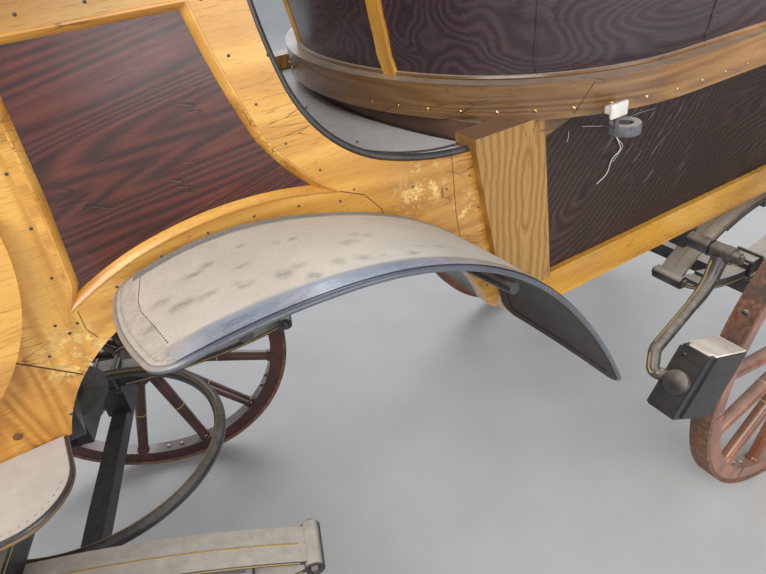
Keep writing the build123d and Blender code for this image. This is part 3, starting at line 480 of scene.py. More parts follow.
# ------------------------------------------------------------ mesh functions
class Shape:
    """Vertices in mm and faces, gathered piece by piece."""

    def __init__(self):
        self.v, self.f = [], []

    def add(self, verts, faces):
        k = len(self.v)
        self.v += [tuple(p) for p in verts]
        self.f += [tuple(i + k for i in q) for q in faces]
        return self

    def mirrored(self):
        s = Shape()
        s.add([(x, -y, z) for x, y, z in self.v], [q[::-1] for q in self.f])
        return s

    def both(self):
        m = self.mirrored()
        return Shape().add(self.v, self.f).add(m.v, m.f)


def make(name, shape, mat, body, place=D, smooth=True, auto=40.0, mods=(), mats=None):
    me = bpy.data.meshes.new(name)
    me.from_pydata([place(p) for p in shape.v], [], shape.f)
    bm = bmesh.new()
    bm.from_mesh(me)
    bmesh.ops.remove_doubles(bm, verts=bm.verts, dist=1e-6)
    bmesh.ops.recalc_face_normals(bm, faces=bm.faces)
    bm.to_mesh(me)
    bm.free()
    o = bpy.data.objects.new(name, me)
    scene.collection.objects.link(o)
    me.materials.append(mat)
    for x in mats or ():
        me.materials.append(x)
    if smooth:
        me.shade_smooth()
        if auto:
            me.set_sharp_from_angle(angle=math.radians(auto))
    for kind, kw in mods:
        md = o.modifiers.new(kind.lower(), kind)
        for k, x in kw.items():
            setattr(md, k, x)
    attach(o, body)
    return o


def norm(v):
    l = math.sqrt(sum(c * c for c in v)) or 1.0
    return tuple(c / l for c in v)


def cross(a, b):
    return (a[1] * b[2] - a[2] * b[1], a[2] * b[0] - a[0] * b[2], a[0] * b[1] - a[1] * b[0])


def add3(a, b, k=1.0):
    return (a[0] + b[0] * k, a[1] + b[1] * k, a[2] + b[2] * k)


def sub3(a, b):
    return (a[0] - b[0], a[1] - b[1], a[2] - b[2])


def dot(a, b):
    return a[0] * b[0] + a[1] * b[1] + a[2] * b[2]


def tube(pts, r, n=10, closed=False, flat=1.0, up=None, caps=True):
    """Sections of radius r (flat: ratio of the second radius) along points."""
    k = len(pts)
    radii = r if isinstance(r, (list, tuple)) else [r] * k
    verts, faces = [], []
    side = None
    for i in range(k):
        a, b = (pts[(i - 1) % k], pts[(i + 1) % k]) if closed else (pts[max(0, i - 1)], pts[min(k - 1, i + 1)])
        t = norm(sub3(b, a))
        if side is None:
            ref = up or ((0, 0, 1) if abs(t[2]) < 0.9 else (1, 0, 0))
            side = norm(cross(t, ref))
        elif up is not None:
            side = norm(cross(t, up))
        else:
            side = norm(sub3(side, tuple(c * dot(side, t) for c in t)))
        nrm = cross(side, t)
        for j in range(n):
            a2 = 2 * math.pi * j / n
            p = add3(add3(pts[i], side, radii[i] * math.cos(a2)), nrm, radii[i] * flat * math.sin(a2))
            verts.append(p)
    rows = k if closed else k - 1
    for i in range(rows):
        for j in range(n):
            a, b = i * n + j, i * n + (j + 1) % n
            c, d = ((i + 1) % k) * n + (j + 1) % n, ((i + 1) % k) * n + j
            faces.append((a, b, c, d))
    if not closed and caps:
        faces.append(tuple(range(n))[::-1])
        faces.append(tuple(range((k - 1) * n, k * n)))
    return verts, faces


def arc(p, m, e, n):
    """n+1 points of the circle through p, m and e (2D)."""
    ax, ay, bx, by, cx, cy = *p, *m, *e
    d = 2 * (ax * (by - cy) + bx * (cy - ay) + cx * (ay - by))
    ux = ((ax * ax + ay * ay) * (by - cy) + (bx * bx + by * by) * (cy - ay) + (cx * cx + cy * cy) * (ay - by)) / d
    uy = ((ax * ax + ay * ay) * (cx - bx) + (bx * bx + by * by) * (ax - cx) + (cx * cx + cy * cy) * (bx - ax)) / d
    r = math.hypot(ax - ux, ay - uy)
    a0, a1, a2 = (math.atan2(q[1] - uy, q[0] - ux) for q in (p, m, e))
    s1, s2 = (a1 - a0) % (2 * math.pi), (a2 - a0) % (2 * math.pi)
    if s1 > s2:
        s2 -= 2 * math.pi
    return [(ux + r * math.cos(a0 + s2 * i / n), uy + r * math.sin(a0 + s2 * i / n)) for i in range(n + 1)]


def chain(start, segs, step=14.0):
    """Points of a chain of ("L", end) and ("A", mid, end), without repeats."""
    out, p = [start], start
    for s in segs:
        e = s[-1]
        n = max(1, int(math.dist(p, e) / step))
        pts = arc(p, s[1], e, max(4, n)) if s[0] == "A" else [(p[0] + (e[0] - p[0]) * i / n, p[1] + (e[1] - p[1]) * i / n) for i in range(n + 1)]
        out += pts[1:]
        p = e
    return out


def resample(pts, step, closed=False):
    """Evenly spaced points along a 3D polyline, with its tangents."""
    q = list(pts) + ([pts[0]] if closed else [])
    out, left = [], 0.0
    for a, b in zip(q, q[1:]):
        l = math.dist(a, b)
        if l < 1e-9:
            continue
        t = tuple((y - x) / l for x, y in zip(a, b))
        s = left
        while s < l:
            out.append((add3(a, t, s), t))
            s += step
        left = s - l
    return out


def hexnut(c, axis, r, h, bolt=None):
    """Nut with a chamfered top and the end of its bolt."""
    t = norm(axis)
    u = norm(cross(t, (0, 0, 1) if abs(t[2]) < 0.9 else (1, 0, 0)))
    w = cross(t, u)
    s = Shape()
    rings = [(0.0, 1.0), (h * 0.78, 1.0), (h, 0.86)]
    v = []
    for z, k in rings:
        for j in range(6):
            a = math.pi / 3 * j
            v.append(add3(add3(add3(c, t, z), u, r * k * math.cos(a)), w, r * k * math.sin(a)))
    f = [tuple(range(6))[::-1], tuple(range(12, 18))]
    for i in range(2):
        for j in range(6):
            f.append((i * 6 + j, i * 6 + (j + 1) % 6, (i + 1) * 6 + (j + 1) % 6, (i + 1) * 6 + j))
    s.add(v, f)
    if bolt:
        s.add(*dome(add3(c, t, h - 0.3), axis, r * 0.55, bolt, 10))
    return s.v, s.f


def dome(c, axis, r, h, n=10):
    """Round head, flat below."""
    t = norm(axis)
    u = norm(cross(t, (0, 0, 1) if abs(t[2]) < 0.9 else (1, 0, 0)))
    w = cross(t, u)
    v, f = [], []
    for z, k in ((-0.4, 1.0), (h * 0.25, 1.0), (h * 0.7, 0.75), (h * 0.95, 0.35)):
        for j in range(n):
            a = 2 * math.pi * j / n
            v.append(add3(add3(add3(c, t, z), u, r * k * math.cos(a)), w, r * k * math.sin(a)))
    for i in range(3):
        for j in range(n):
            f.append((i * n + j, i * n + (j + 1) % n, (i + 1) * n + (j + 1) % n, (i + 1) * n + j))
    f.append(tuple(range(n))[::-1])
    v.append(add3(c, t, h))
    for j in range(n):
        f.append((3 * n + j, 3 * n + (j + 1) % n, 4 * n))
    return v, f


def dash(c, t, up, l=5.0, r=0.8):
    """One stitch: a thin bead, pointed at both ends, lying on a surface."""
    t = norm(t)
    w = norm(cross(t, up))
    u = norm(up)
    v, f = [add3(c, t, -l / 2), add3(c, t, l / 2)], []
    for s in (-0.3, 0.3):
        for j in range(5):
            a = 2 * math.pi * j / 5
            v.append(add3(add3(add3(c, t, l * s), w, r * math.cos(a)), u, r * math.sin(a)))
    for j in range(5):
        k = (j + 1) % 5
        f += [(0, 2 + k, 2 + j), (2 + j, 2 + k, 7 + k, 7 + j), (1, 7 + j, 7 + k)]
    return v, f


def rbox(x0, x1, y0, y1, z0, z1, r=2.0, seg=2):
    """Box with rounded edges, in mm."""
    bm = bmesh.new()
    bmesh.ops.create_cube(bm, size=1.0)
    for v in bm.verts:
        v.co = Vector(((x0 + x1) / 2 + v.co.x * (x1 - x0), (y0 + y1) / 2 + v.co.y * (y1 - y0), (z0 + z1) / 2 + v.co.z * (z1 - z0)))
    bmesh.ops.bevel(bm, geom=bm.edges[:], offset=r, segments=seg, profile=0.5, affect="EDGES")
    bm.verts.index_update()
    out = [tuple(v.co) for v in bm.verts], [tuple(v.index for v in f.verts) for f in bm.faces]
    bm.free()
    return out


def extruded(outline, y0, y1):
    """Solid between two y planes from an x, z outline."""
    n = len(outline)
    v = [(x, y0, z) for x, z in outline] + [(x, y1, z) for x, z in outline]
    f = [tuple(range(n)), tuple(range(2 * n - 1, n - 1, -1))]
    f += [(i, (i + 1) % n, n + (i + 1) % n, n + i) for i in range(n)]
    return v, f


def slab(outline, z0, z1):
    """Solid between two z planes from an x, y outline."""
    n = len(outline)
    v = [(x, y, z0) for x, y in outline] + [(x, y, z1) for x, y in outline]
    f = [tuple(range(n))[::-1], tuple(range(n, 2 * n))]
    f += [(i, (i + 1) % n, n + (i + 1) % n, n + i) for i in range(n)]
    return v, f


def ribbon(pts, normals, w, t=0.5):
    """Flat thin strip w wide, t thick, on a surface with these normals."""
    v, f = [], []
    k = len(pts)
    for i, p in enumerate(pts):
        a, b = pts[max(0, i - 1)], pts[min(k - 1, i + 1)]
        tan = norm(sub3(b, a))
        s = norm(cross(normals[i], tan))
        nn = norm(normals[i])
        for q in (add3(add3(p, s, -w / 2), nn, -0.6), add3(add3(p, s, -w / 2), nn, t), add3(add3(p, s, w / 2), nn, t), add3(add3(p, s, w / 2), nn, -0.6)):
            v.append(q)
    for i in range(k - 1):
        for j in range(4):
            f.append((i * 4 + j, i * 4 + (j + 1) % 4, (i + 1) * 4 + (j + 1) % 4, (i + 1) * 4 + j))
    f += [(0, 1, 2, 3), ((k - 1) * 4 + 3, (k - 1) * 4 + 2, (k - 1) * 4 + 1, (k - 1) * 4)]
    return v, f


# ------------------------------------------------ materials of the CAD pieces
LOOK = {
    "side_frames": m_gold, "front_panels": m_rose, "rear_posts": m_teak, "lower_panels": m_rose_low, "sills": m_sill, "tail_panel": m_rose_tail,
    "boot_floor": m_floorw, "tub_panels": m_rose_tub, "tub_rail": m_gold_warm, "tub_top_rail": m_gold_warm, "tub_floor": m_floorw,
    "passenger_seat_board": m_floorw, "footwell_floor": m_lining, "arch_lining": m_blackw, "driver_floor": m_floorw, "driver_box": m_rose_box,
    "cheek_boards": m_gold_x, "driver_seat_rail": m_iron, "toe_board": m_toe, "mudguard_irons": m_iron, "turntable_top": m_iron, "brake_brackets": m_iron,
    "rear_axle": m_iron_dusty, "rear_springs": m_iron_dusty, "front_axle": m_axle, "front_springs": m_iron_dusty, "fore_bed": m_blackw,
    "turning_ring": m_iron, "futchells": m_blackw, "splinter_bar": m_blackw, "shaft_pins": m_bolt, "shafts": m_shaft, "brake_shaft": m_brake, "brake_blocks": m_block,
}
for w in ("front_left", "front_right", "rear_left", "rear_right"):
    LOOK["tyre_" + w] = m_tyre
    LOOK["wheel_" + w] = m_wheel if w.startswith("front") else m_wheel_r
    LOOK["hub_cap_" + w] = m_brass
ROUND = {"side_frames": 3.0, "rear_posts": 3.0, "sills": 3.0, "tub_rail": 6.0, "tub_top_rail": 6.0, "cheek_boards": 4.0, "driver_box": 2.0, "toe_board": 2.5, "driver_floor": 3.0,
         "turning_ring": 5.0, "splinter_bar": 3.0, "fore_bed": 3.0, "brake_blocks": 3.5, "front_springs": 1.2, "rear_springs": 1.2, "brake_brackets": 2.0,
         "lower_panels": 1.0, "tail_panel": 1.0, "tub_panels": 1.0}
for w in ("front_left", "front_right", "rear_left", "rear_right"):
    ROUND["tyre_" + w] = 3.0
    ROUND["hub_cap_" + w] = 2.5
for name, mat in LOOK.items():
    o = NODES[name]
    o.data.materials.clear()
    o.data.materials.append(mat)
    if name in ROUND:
        b = o.modifiers.new("round", "BEVEL")
        b.width = ROUND[name] / 1000.0
        b.segments = 2
        b.limit_method = "ANGLE"
        b.angle_limit = math.radians(38)
        b.harden_normals = False
        b.use_clamp_overlap = True

# ----------------------------------------------------------------- mudguards
GUARD_IN = ((202, 1206.5), [("A", (330, 1237), (470, 1216)), ("A", (630, 1152), (742, 1060)), ("A", (790, 985), (812, 900))])
GUARD_OUT = ((202, 1243.5), [("A", (340, 1257), (470, 1245)), ("A", (640, 1165), (755, 1044)), ("A", (822, 945), (876, 838))])
GY_IN, GY_OUT = -406.0, -637.0


def dense(table):
    start, segs = table
    out, p = [], start
    for k, s in enumerate(segs):
        pts = arc(p, s[1], s[2], 60)
        out += pts if k == 0 else pts[1:]
        p = s[2]
    return np.array(out)


G_IN, G_OUT = dense(GUARD_IN), dense(GUARD_OUT)
for _ in range(160):  # ease the joints between the arcs
    for g in (G_IN, G_OUT):
        g[1:-1] = g[1:-1] * 0.5 + (g[:-2] + g[2:]) * 0.25
G_LEN = float(np.linalg.norm(np.diff((G_IN + G_OUT) / 2, axis=0), axis=1).sum())


def guard_pt(s, v):
    """Point of the guard's top face: s along 0..1, v across 0 inner .. 1 outer."""
    k = min(max(s, 0.0), 1.0) * (len(G_IN) - 1)
    i = min(int(k), len(G_IN) - 2)
    a = k - i
    pi, po = G_IN[i] * (1 - a) + G_IN[i + 1] * a, G_OUT[i] * (1 - a) + G_OUT[i + 1] * a
    p = pi * (1 - v) + po * v
    crown = 5.0 * (1 - (2 * v - 1) ** 2) - 2.0
    u = min(max((s - 0.2) / 0.45, 0.0), 1.0)
    flare = 8.0 - 14.0 * u * u * (3 - 2 * u)  # wider in front, narrower behind
    return (float(p[0]), GY_IN + (GY_OUT - flare - GY_IN) * v, float(p[1]) + crown)


def guard_normal(s, v):
    e = 0.004
    a, b = guard_pt(max(0, s - e), v), guard_pt(min(1, s + e), v)
    c, d = guard_pt(s, max(0, v - 0.02)), guard_pt(s, min(1, v + 0.02))
    n = norm(cross(sub3(d, c), sub3(b, a)))
    return n if n[2] + 0.35 * n[0] > 0 else tuple(-c for c in n)


def rounding(v, inset, r, width=239.0):
    """How far an end with corners of radius r draws back at v (mm)."""
    y = min(v, 1 - v) * width - inset
    rr = max(1.0, r - inset)
    if y >= rr:
        return 0.0
    y = max(0.0, y)
    return rr - math.sqrt(max(0.0, rr * rr - (rr - y) ** 2))


def guard_ends(v, inset=0.0):
    # the front end bulges forward, its corners are short
    return ((inset + 16.0 * (2 * v - 1) ** 2 + rounding(v, inset, 24)) / G_LEN, 1 - (inset + rounding(v, inset, 34)) / G_LEN)


def guard_loop(inset, n_long=150, n_end=34):
    """Closed line inset from the guard's edge, as (s, v) pairs."""
    v0 = inset / 239.0
    vs = [v0 + (1 - 2 * v0) * (0.5 - 0.5 * math.cos(math.pi * i / n_end)) for i in range(n_end + 1)]
    loop = [(guard_ends(v, inset)[0], v) for v in vs]
    s0, s1 = guard_ends(1 - v0, inset)
    loop += [(s0 + (s1 - s0) * i / n_long, 1 - v0) for i in range(1, n_long)]
    loop += [(guard_ends(v, inset)[1], v) for v in vs[::-1]]
    s0, s1 = guard_ends(v0, inset)
    loop += [(s1 + (s0 - s1) * i / n_long, v0) for i in range(1, n_long)]
    return loop


# faint marks in the dust: place along, place across, half sizes in mm
SMUDGES = [(0.157, 0.70, 13, 6), (0.148, 0.655, 8, 5), (0.277, 0.765, 12, 9), (0.307, 0.78, 12, 9), (0.320, 0.585, 16, 8), (0.340, 0.485, 10, 6), (0.355, 0.52, 6, 5), (0.233, 0.385, 8, 8),
           (0.259, 0.40, 10, 6), (0.205, 0.735, 15, 11), (0.233, 0.83, 12, 8), (0.229, 0.70, 14, 6), (0.080, 0.617, 22, 9), (0.110, 0.64, 20, 5), (0.058, 0.50, 17, 8), (0.033, 0.667, 12, 9),
           (0.135, 0.367, 15, 8), (0.115, 0.40, 16, 6), (0.036, 0.90, 18, 12), (0.40, 0.73, 12, 4), (0.427, 0.73, 11, 4), (0.374, 0.815, 14, 5), (0.335, 0.80, 6, 4), (0.17, 0.52, 14, 4), (0.19, 0.30, 9, 4)]
CHEVRON = [(0.055, 0.085), (0.037, 0.35), (0.034, 0.467), (0.046, 0.87)]
for side in (1, -1):
    NI, NV = 190, 64
    pts_g, nrm_g, smudge, band = [], [], [], []
    vs = [0.5 - 0.5 * math.cos(math.pi * (0.04 + 0.92 * j / NV)) for j in range(NV + 1)]
    lo_v, hi_v = vs[0], vs[-1]
    vs = [(v - lo_v) / (hi_v - lo_v) for v in vs]
    for j, v in enumerate(vs):
        s0, s1 = guard_ends(v)
        for i in range(NI + 1):
            s = s0 + (s1 - s0) * i / NI
            pts_g.append(guard_pt(s, v))
            nrm_g.append(guard_normal(s, v))
            q = 0.0
            for ss, sv, rx, ry in SMUDGES:
                dx, dy = (s - ss) * G_LEN / (rx * 0.72), (v - sv) * 239.0 / ry
                q = max(q, 1.0 - min(1.0, max(0.0, (math.sqrt(dx * dx + dy * dy) - 0.35) / 0.9)))
            if s < 0.035 + 0.014 * abs(v - 0.42):
                q = max(q, 0.42)
            smudge.append(q)
            # the outer hand's breadth is worn clean of dust, more towards the middle, and the bare leather there gets a
            # painted sky reflection as its colour
            edge = (1.0 - v) * 239.0
            wide = 36.0 - 16.0 * s
            q = min(1.0, max(0.0, (wide - edge) / 3.5)) * min(1.0, max(0.0, (s - 0.035) / 0.05))
            band.append(q)
    W1, NP = NI + 1, len(pts_g)
    verts = pts_g + [add3(p, q, -5.5) for p, q in zip(pts_g, nrm_g)]
    top = [(j * W1 + i, j * W1 + i + 1, (j + 1) * W1 + i + 1, (j + 1) * W1 + i) for j in range(NV) for i in range(NI)]
    a3, b3, c3 = pts_g[top[0][0]], pts_g[top[0][1]], pts_g[top[0][3]]
    if sum(x * y for x, y in zip(cross(sub3(b3, a3), sub3(c3, a3)), nrm_g[top[0][0]])) < 0:
        top = [q[::-1] for q in top]
        turned = True
    else:
        turned = False
    low = [tuple(k + NP for k in q[::-1]) for q in top]
    rim_line = [i for i in range(NI)] + [j * W1 + NI for j in range(NV)] + [NV * W1 + i for i in range(NI, 0, -1)] + [j * W1 for j in range(NV, 0, -1)]
    rim = [(b, a, a + NP, b + NP) for a, b in zip(rim_line, rim_line[1:] + rim_line[:1])]
    if turned:
        rim = [q[::-1] for q in rim]
    faces = top + low + rim
    name = "guard_sheet_left" if side > 0 else "guard_sheet_right"
    me = bpy.data.meshes.new(name)
    me.from_pydata([D((x, y * side, z)) for x, y, z in verts], [], faces if side > 0 else [q[::-1] for q in faces])
    for label, values in (("smudge", smudge), ("band", band)):
        at = me.attributes.new(label, "FLOAT", "POINT")
        at.data.foreach_set("value", values + [0.0] * NP)
    me.materials.append(m_guard)
    me.materials.append(m_guard_under)
    me.polygons.foreach_set("material_index", [0] * len(top) + [1] * (len(low) + len(rim)))
    me.polygons.foreach_set("use_smooth", [True] * (len(top) + len(low)) + [False] * len(rim))
    me.update()
    o = bpy.data.objects.new(name, me)
    scene.collection.objects.link(o)
    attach(o, "body")
    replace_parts(o, "mudguards") if side > 0 else None
    # rolled binding round the whole edge
    s, far, under, roll = Shape(), Shape(), Shape(), Shape()
    loop = [add3(guard_pt(a, v), guard_normal(a, v), -2.9) for a, v in guard_loop(1.8)]
    roll.add(*tube(loop, 3.9, 12, closed=True, up=None, flat=0.95))
    # stitches of the binding near the edge, and the seam across the front end
    st = Shape()
    lp = [(guard_pt(a, v), guard_normal(a, v), v) for a, v in guard_loop(9.0)]
    pts = [p for p, n, v in lp]
    for c, t in resample(pts, 6.4, closed=True):
        k = min(range(0, len(pts), 3), key=lambda q: (pts[q][0] - c[0]) ** 2 + (pts[q][1] - c[1]) ** 2 + (pts[q][2] - c[2]) ** 2)
        st.add(*dash(add3(c, lp[k][1], 1.4), t, lp[k][1], 3.2, 0.42))
    seam_d = Shape()
    line = []
    for (a0, v0), (a1, v1) in zip(CHEVRON, CHEVRON[1:]):
        line += [guard_pt(a0 + (a1 - a0) * i / 16, v0 + (v1 - v0) * i / 16) for i in range(16)]
    for c, t in resample(line, 5.2):
        seam_d.add(*dash(add3(c, guard_normal(0.05, 0.5), 0.15), t, guard_normal(0.05, 0.5), 3.0, 0.6))
    # flat hem of the binding on both faces
    out_sv, in_sv = guard_loop(3.0), guard_loop(21.0)
    nr = [guard_normal(a, v) for a, v in guard_loop(12.0)]
    n = len(out_sv)
    for off, sgn in ((0.0, 1), (-5.5, -1)):
        rows = [[add3(guard_pt(a, v), q, off + sgn * 1.5) for (a, v), q in zip(out_sv, nr)], [add3(guard_pt(a, v), q, off + sgn * 1.2) for (a, v), q in zip(in_sv, nr)],
                [add3(guard_pt(a, v), q, off - sgn * 0.6) for (a, v), q in zip(in_sv, nr)]]
        for i in range(n):
            k = (i + 1) % n
            if sgn > 0 and i < 33:
                continue
            target = under if sgn < 0 else (far if in_sv[i][1] < 0.2 and in_sv[k][1] < 0.2 else s)
            target.add([rows[0][i], rows[0][k], rows[1][k], rows[1][i], rows[2][i], rows[2][k]], [(0, 1, 2, 3), (3, 2, 5, 4)])
    lab = "left" if side > 0 else "right"
    for nm, sh, mt in (("guard_binding_", roll, m_binding), ("guard_hem_outer_", s, m_patent_sky_sheen), ("guard_hem_inner_", far, m_hem_far), ("guard_hem_under_", under, m_guard_under), ("guard_stitches_", st, m_thread_guard),
                       ("guard_seam_", seam_d, m_thread_dark)):
        make(nm + lab, sh if side > 0 else sh.mirrored(), mt, "body")

# ------------------------------------------- front panels: bevels and nails
PANEL = chain((182, 1491), [("L", (386, 1491)), ("A", (411, 1395), (434, 1330)), ("A", (473, 1274), (523, 1227)), ("A", (358, 1250), (247, 1233)),
                            ("A", (202, 1216), (159, 1194)), ("L", (173, 1226)), ("L", (179, 1328)), ("L", (182, 1491))], 10)[:-1]


def inset2(pts, d):
    """Closed outline moved inwards by d (positive) along its own normals."""
    n = len(pts)
    area = sum(pts[i][0] * pts[(i + 1) % n][1] - pts[(i + 1) % n][0] * pts[i][1] for i in range(n))
    sg = 1.0 if area > 0 else -1.0
    out = []
    for i in range(n):
        a, b, c = pts[i - 1], pts[i], pts[(i + 1) % n]
        t1, t2 = norm((b[0] - a[0], b[1] - a[1], 0)), norm((c[0] - b[0], c[1] - b[1], 0))
        n1, n2 = (-t1[1] * sg, t1[0] * sg), (-t2[1] * sg, t2[0] * sg)
        m = norm((n1[0] + n2[0], n1[1] + n2[1], 0))
        k = d / max(0.35, m[0] * n1[0] + m[1] * n1[1])
        out.append((b[0] + m[0] * k, b[1] + m[1] * k))
    return out


s = Shape()
n = len(PANEL)
outer, mid, inner = inset2(PANEL, -5.0), inset2(PANEL, 1.0), inset2(PANEL, 10.0)
rows = [(inset2(PANEL, -2.0), -399.6), (inset2(PANEL, -1.0), -400.9), (inset2(PANEL, 1.0), -401.2), (inset2(PANEL, 3.5), -399.4), (inset2(PANEL, 8.5), -393.2), (inset2(PANEL, 9.0), -391.0)]
v = [(x, y, z) for pts, y in rows for x, z in pts]
f = [(r * n + i, r * n + (i + 1) % n, (r + 1) * n + (i + 1) % n, (r + 1) * n + i) for r in range(len(rows) - 1) for i in range(n)]
s.add(v, f)
make("panel_moulding", s.both(), m_gold_x, "body")

nails = Shape()
for c, t in resample([(x, -400.2, z) for x, z in inset2(PANEL, -15)], 62, closed=True):
    nails.add(*dome(c, (0, -1, 0), 1.9, 0.9, 8))
for x, z in ((196, 1524), (262, 1526), (330, 1524), (396, 1522), (462, 1420), (497, 1350), (560, 1288), (640, 1250), (720, 1236), (700, 1172), (640, 1196), (604, 1160), (520, 1196),
             (440, 1208), (350, 1210), (280, 1200), (-318, 1520), (-318, 1420), (-250, 1526), (-120, 1526), (0, 1526), (110, 1526), (120, 1150), (150, 1170), (110, 1060), (760, 1120),
             (764, 1040), (776, 960), (744, 1180)):
    nails.add(*dome((x, -400.2, z), (0, -1, 0), 2.1, 1.0, 8))
make("frame_nails", nails.both(), m_bolt, "body")

# joint lines of the frame, scarfs and the plugged bolt hole
joints = Shape()
YF = [(0, -1, 0)]


def seam(points, w=0.9, y=-400.05, shape=joints):
    pts = [(x, y, z) for x, z in points]
    shape.add(*ribbon(pts, [(0, -1, 0)] * len(pts), w, 0.25))


# plain frame of a spliced side: stile to rail joints and the scarf under it
seam([(84, 1160), (143, 1108.5)], 1.8)
seam([(168, 1194), (168, 1168), (176, 1150)], 0.9)
seam([(168, 1550), (168, 1492)], 1.0)
seam([(434, 1550), (420, 1520), (400, 1500)], 1.0)
seam([(523, 1228), (560, 1210), (584, 1180), (600, 1128)], 1.1)
seam([(-330, 1550), (-330, 1360)], 0.9)
seam([(712, 1224), (716, 1120), (730, 1020)], 0.9)
make("frame_joints", joints.both(), m_gap, "body")
plug = Shape()
for x, z in ((48, 1060), (-60, 1068), (-220, 1068)):
    plug.add(*dome((x, -400.2, z), (0, -1, 0), 5.5, 0.7, 16))
for x, z in ((70, 1300), (40, 1180), (-120, 1140), (-300, 1140), (-300, 1310)):
    plug.add(*dome((x, -426.2, z), (0, -1, 0), 5.5, 0.7, 16))
make("bolt_plugs", plug.both(), m_plug, "body")

# -------------------------------------------------- doorway piping and mats
DOOR = chain((445, 1549), [("A", (452, 1470), (474, 1377)), ("A", (521, 1301), (591, 1252)), ("A", (673, 1227), (746, 1218))], 8)
s = Shape()
s.add(*tube([(x + 2.5, -392.5, z + 3.0) for x, z in DOOR], 5.6, 10))
s.add(*tube([(x + 2.0, -369.0, z + 2.0) for x, z in DOOR], 3.4, 8))
make("doorway_piping", s.both(), m_piping, "body")
# leather wrapped over the doorway's edge between the two pipings
s = Shape()
k = len(DOOR)
v = [(x + 1.8, -392.0, z + 2.2) for x, z in DOOR] + [(x + 1.8, -364.5, z + 2.2) for x, z in DOOR] + [(x + 1.0, -363.2, z - 16.0) for x, z in DOOR]
f = [(i, i + 1, k + i + 1, k + i) for i in range(k - 1)] + [(k + i, k + i + 1, 2 * k + i + 1, 2 * k + i) for i in range(k - 1)]
s.add(v, f)
make("doorway_edge_leather", s.both(), m_well, "body", mods=(("SOLIDIFY", {"thickness": 0.0015, "offset": 0.0}),))


def riser_x(y):
    """Front face of the bowed riser."""
    r = (364.0 ** 2 + 66.0 ** 2) / (2 * 66.0)
    return 726.0 + r - math.sqrt(r * r - y * y)


out = [(449, -360), (449, 360)] + [(riser_x(y) - 1.5, y) for y in np.linspace(360, -360, 25)]
s = Shape().add(*slab(out, 1202.0, 1206.5))
edge = [(x, y, 1205.5) for x, y in out]
make("footwell_mat", s, m_well, "body", mods=(("BEVEL", {"width": 0.0015, "segments": 2, "limit_method": "ANGLE"}),))
s = Shape().add(*tube(edge, 3.6, 8, closed=True))
make("footwell_mat_piping", s, m_piping, "body")


def round_corner(cx, cy, r, a0, a1, n=12):
    return [(cx + r * math.cos(math.radians(a0 + (a1 - a0) * i / n)), cy + r * math.sin(math.radians(a0 + (a1 - a0) * i / n))) for i in range(n + 1)]


# driver's mat: whole floor in front of the box, and a strip on each side of it
x0, x1, yy, r = -797.0, 93.0, 528.0, 73.0
outer = round_corner(x1 - r, -yy + r, r, 0, -90) + round_corner(x0 + r, -yy + r, r, -90, -180) + round_corner(x0 + r, yy - r, r, 180, 90) + round_corner(x1 - r, yy - r, r, 90, 0)
ring = outer + [(x1, 402), (-354, 402), (-354, -402), (x1, -402)]
mat_z0, mat_z1 = 1030.0, 1034.5
s = Shape()
front = [p for p in outer if p[0] < -354]
front = [(-354, -yy)] + front + [(-354, yy)]
s.add(*slab(front, mat_z0, mat_z1))
for sg in (-1, 1):
    strip = [p for p in outer if p[0] >= -354 and p[1] * sg > 0]
    if sg < 0:
        strip = [(x1, -402)] + strip + [(-354, -yy), (-354, -402)]
    else:
        strip = [(-354, 402), (-354, yy)] + strip + [(x1, 402)]
    s.add(*slab(strip, mat_z0, mat_z1))
make("driver_mat", s, m_mat, "body", auto=30)
loop = [(x, y, mat_z1 - 2.0) for x, y in [(x1, -404)] + outer + [(x1, 404)]]
loop2 = [(x, y, mat_z1 + 0.3) for x, y in inset2([p for p in outer], 9)]
s = Shape().add(*tube(loop, 3.0, 8))
# leather turned down over the board's edge
outl = [(x, y) for x, y, z in loop]
k = len(outl)
rows = [(0.0, mat_z1 - 1.0), (1.6, mat_z1 - 3.0), (1.8, mat_z1 - 8.0), (0.6, mat_z1 - 9.5), (-0.5, mat_z1 - 9.0)]
grown = [outl]
v = []
for off, z in rows:
    ring2 = inset2(outl, -off)
    ring2[0], ring2[-1] = (outl[0][0] + off, outl[0][1]), (outl[-1][0] + off, outl[-1][1])
    v += [(x, y, z) for x, y in ring2]
f = [(r * k + i, r * k + i + 1, (r + 1) * k + i + 1, (r + 1) * k + i) for r in range(len(rows) - 1) for i in range(k - 1)]
s.add(v, f)
make("driver_mat_piping", s, m_piping, "body")
st = Shape()
for c, t in resample(loop2, 9.0):
    if not (-360 < c[0] < 95 and abs(c[1]) < 405) and c[0] < 80:
        st.add(*dash(c, t, (0, 0, 1), 3.4, 0.35))
make("driver_mat_stitches", st, m_thread, "body")

# ------------------------------------------------------------------ rear tub
TX0, TX1, TY, TR, NR, NA = 690.0, 1822.0, 505.0, 165.0, 640.0, math.radians(28.0)


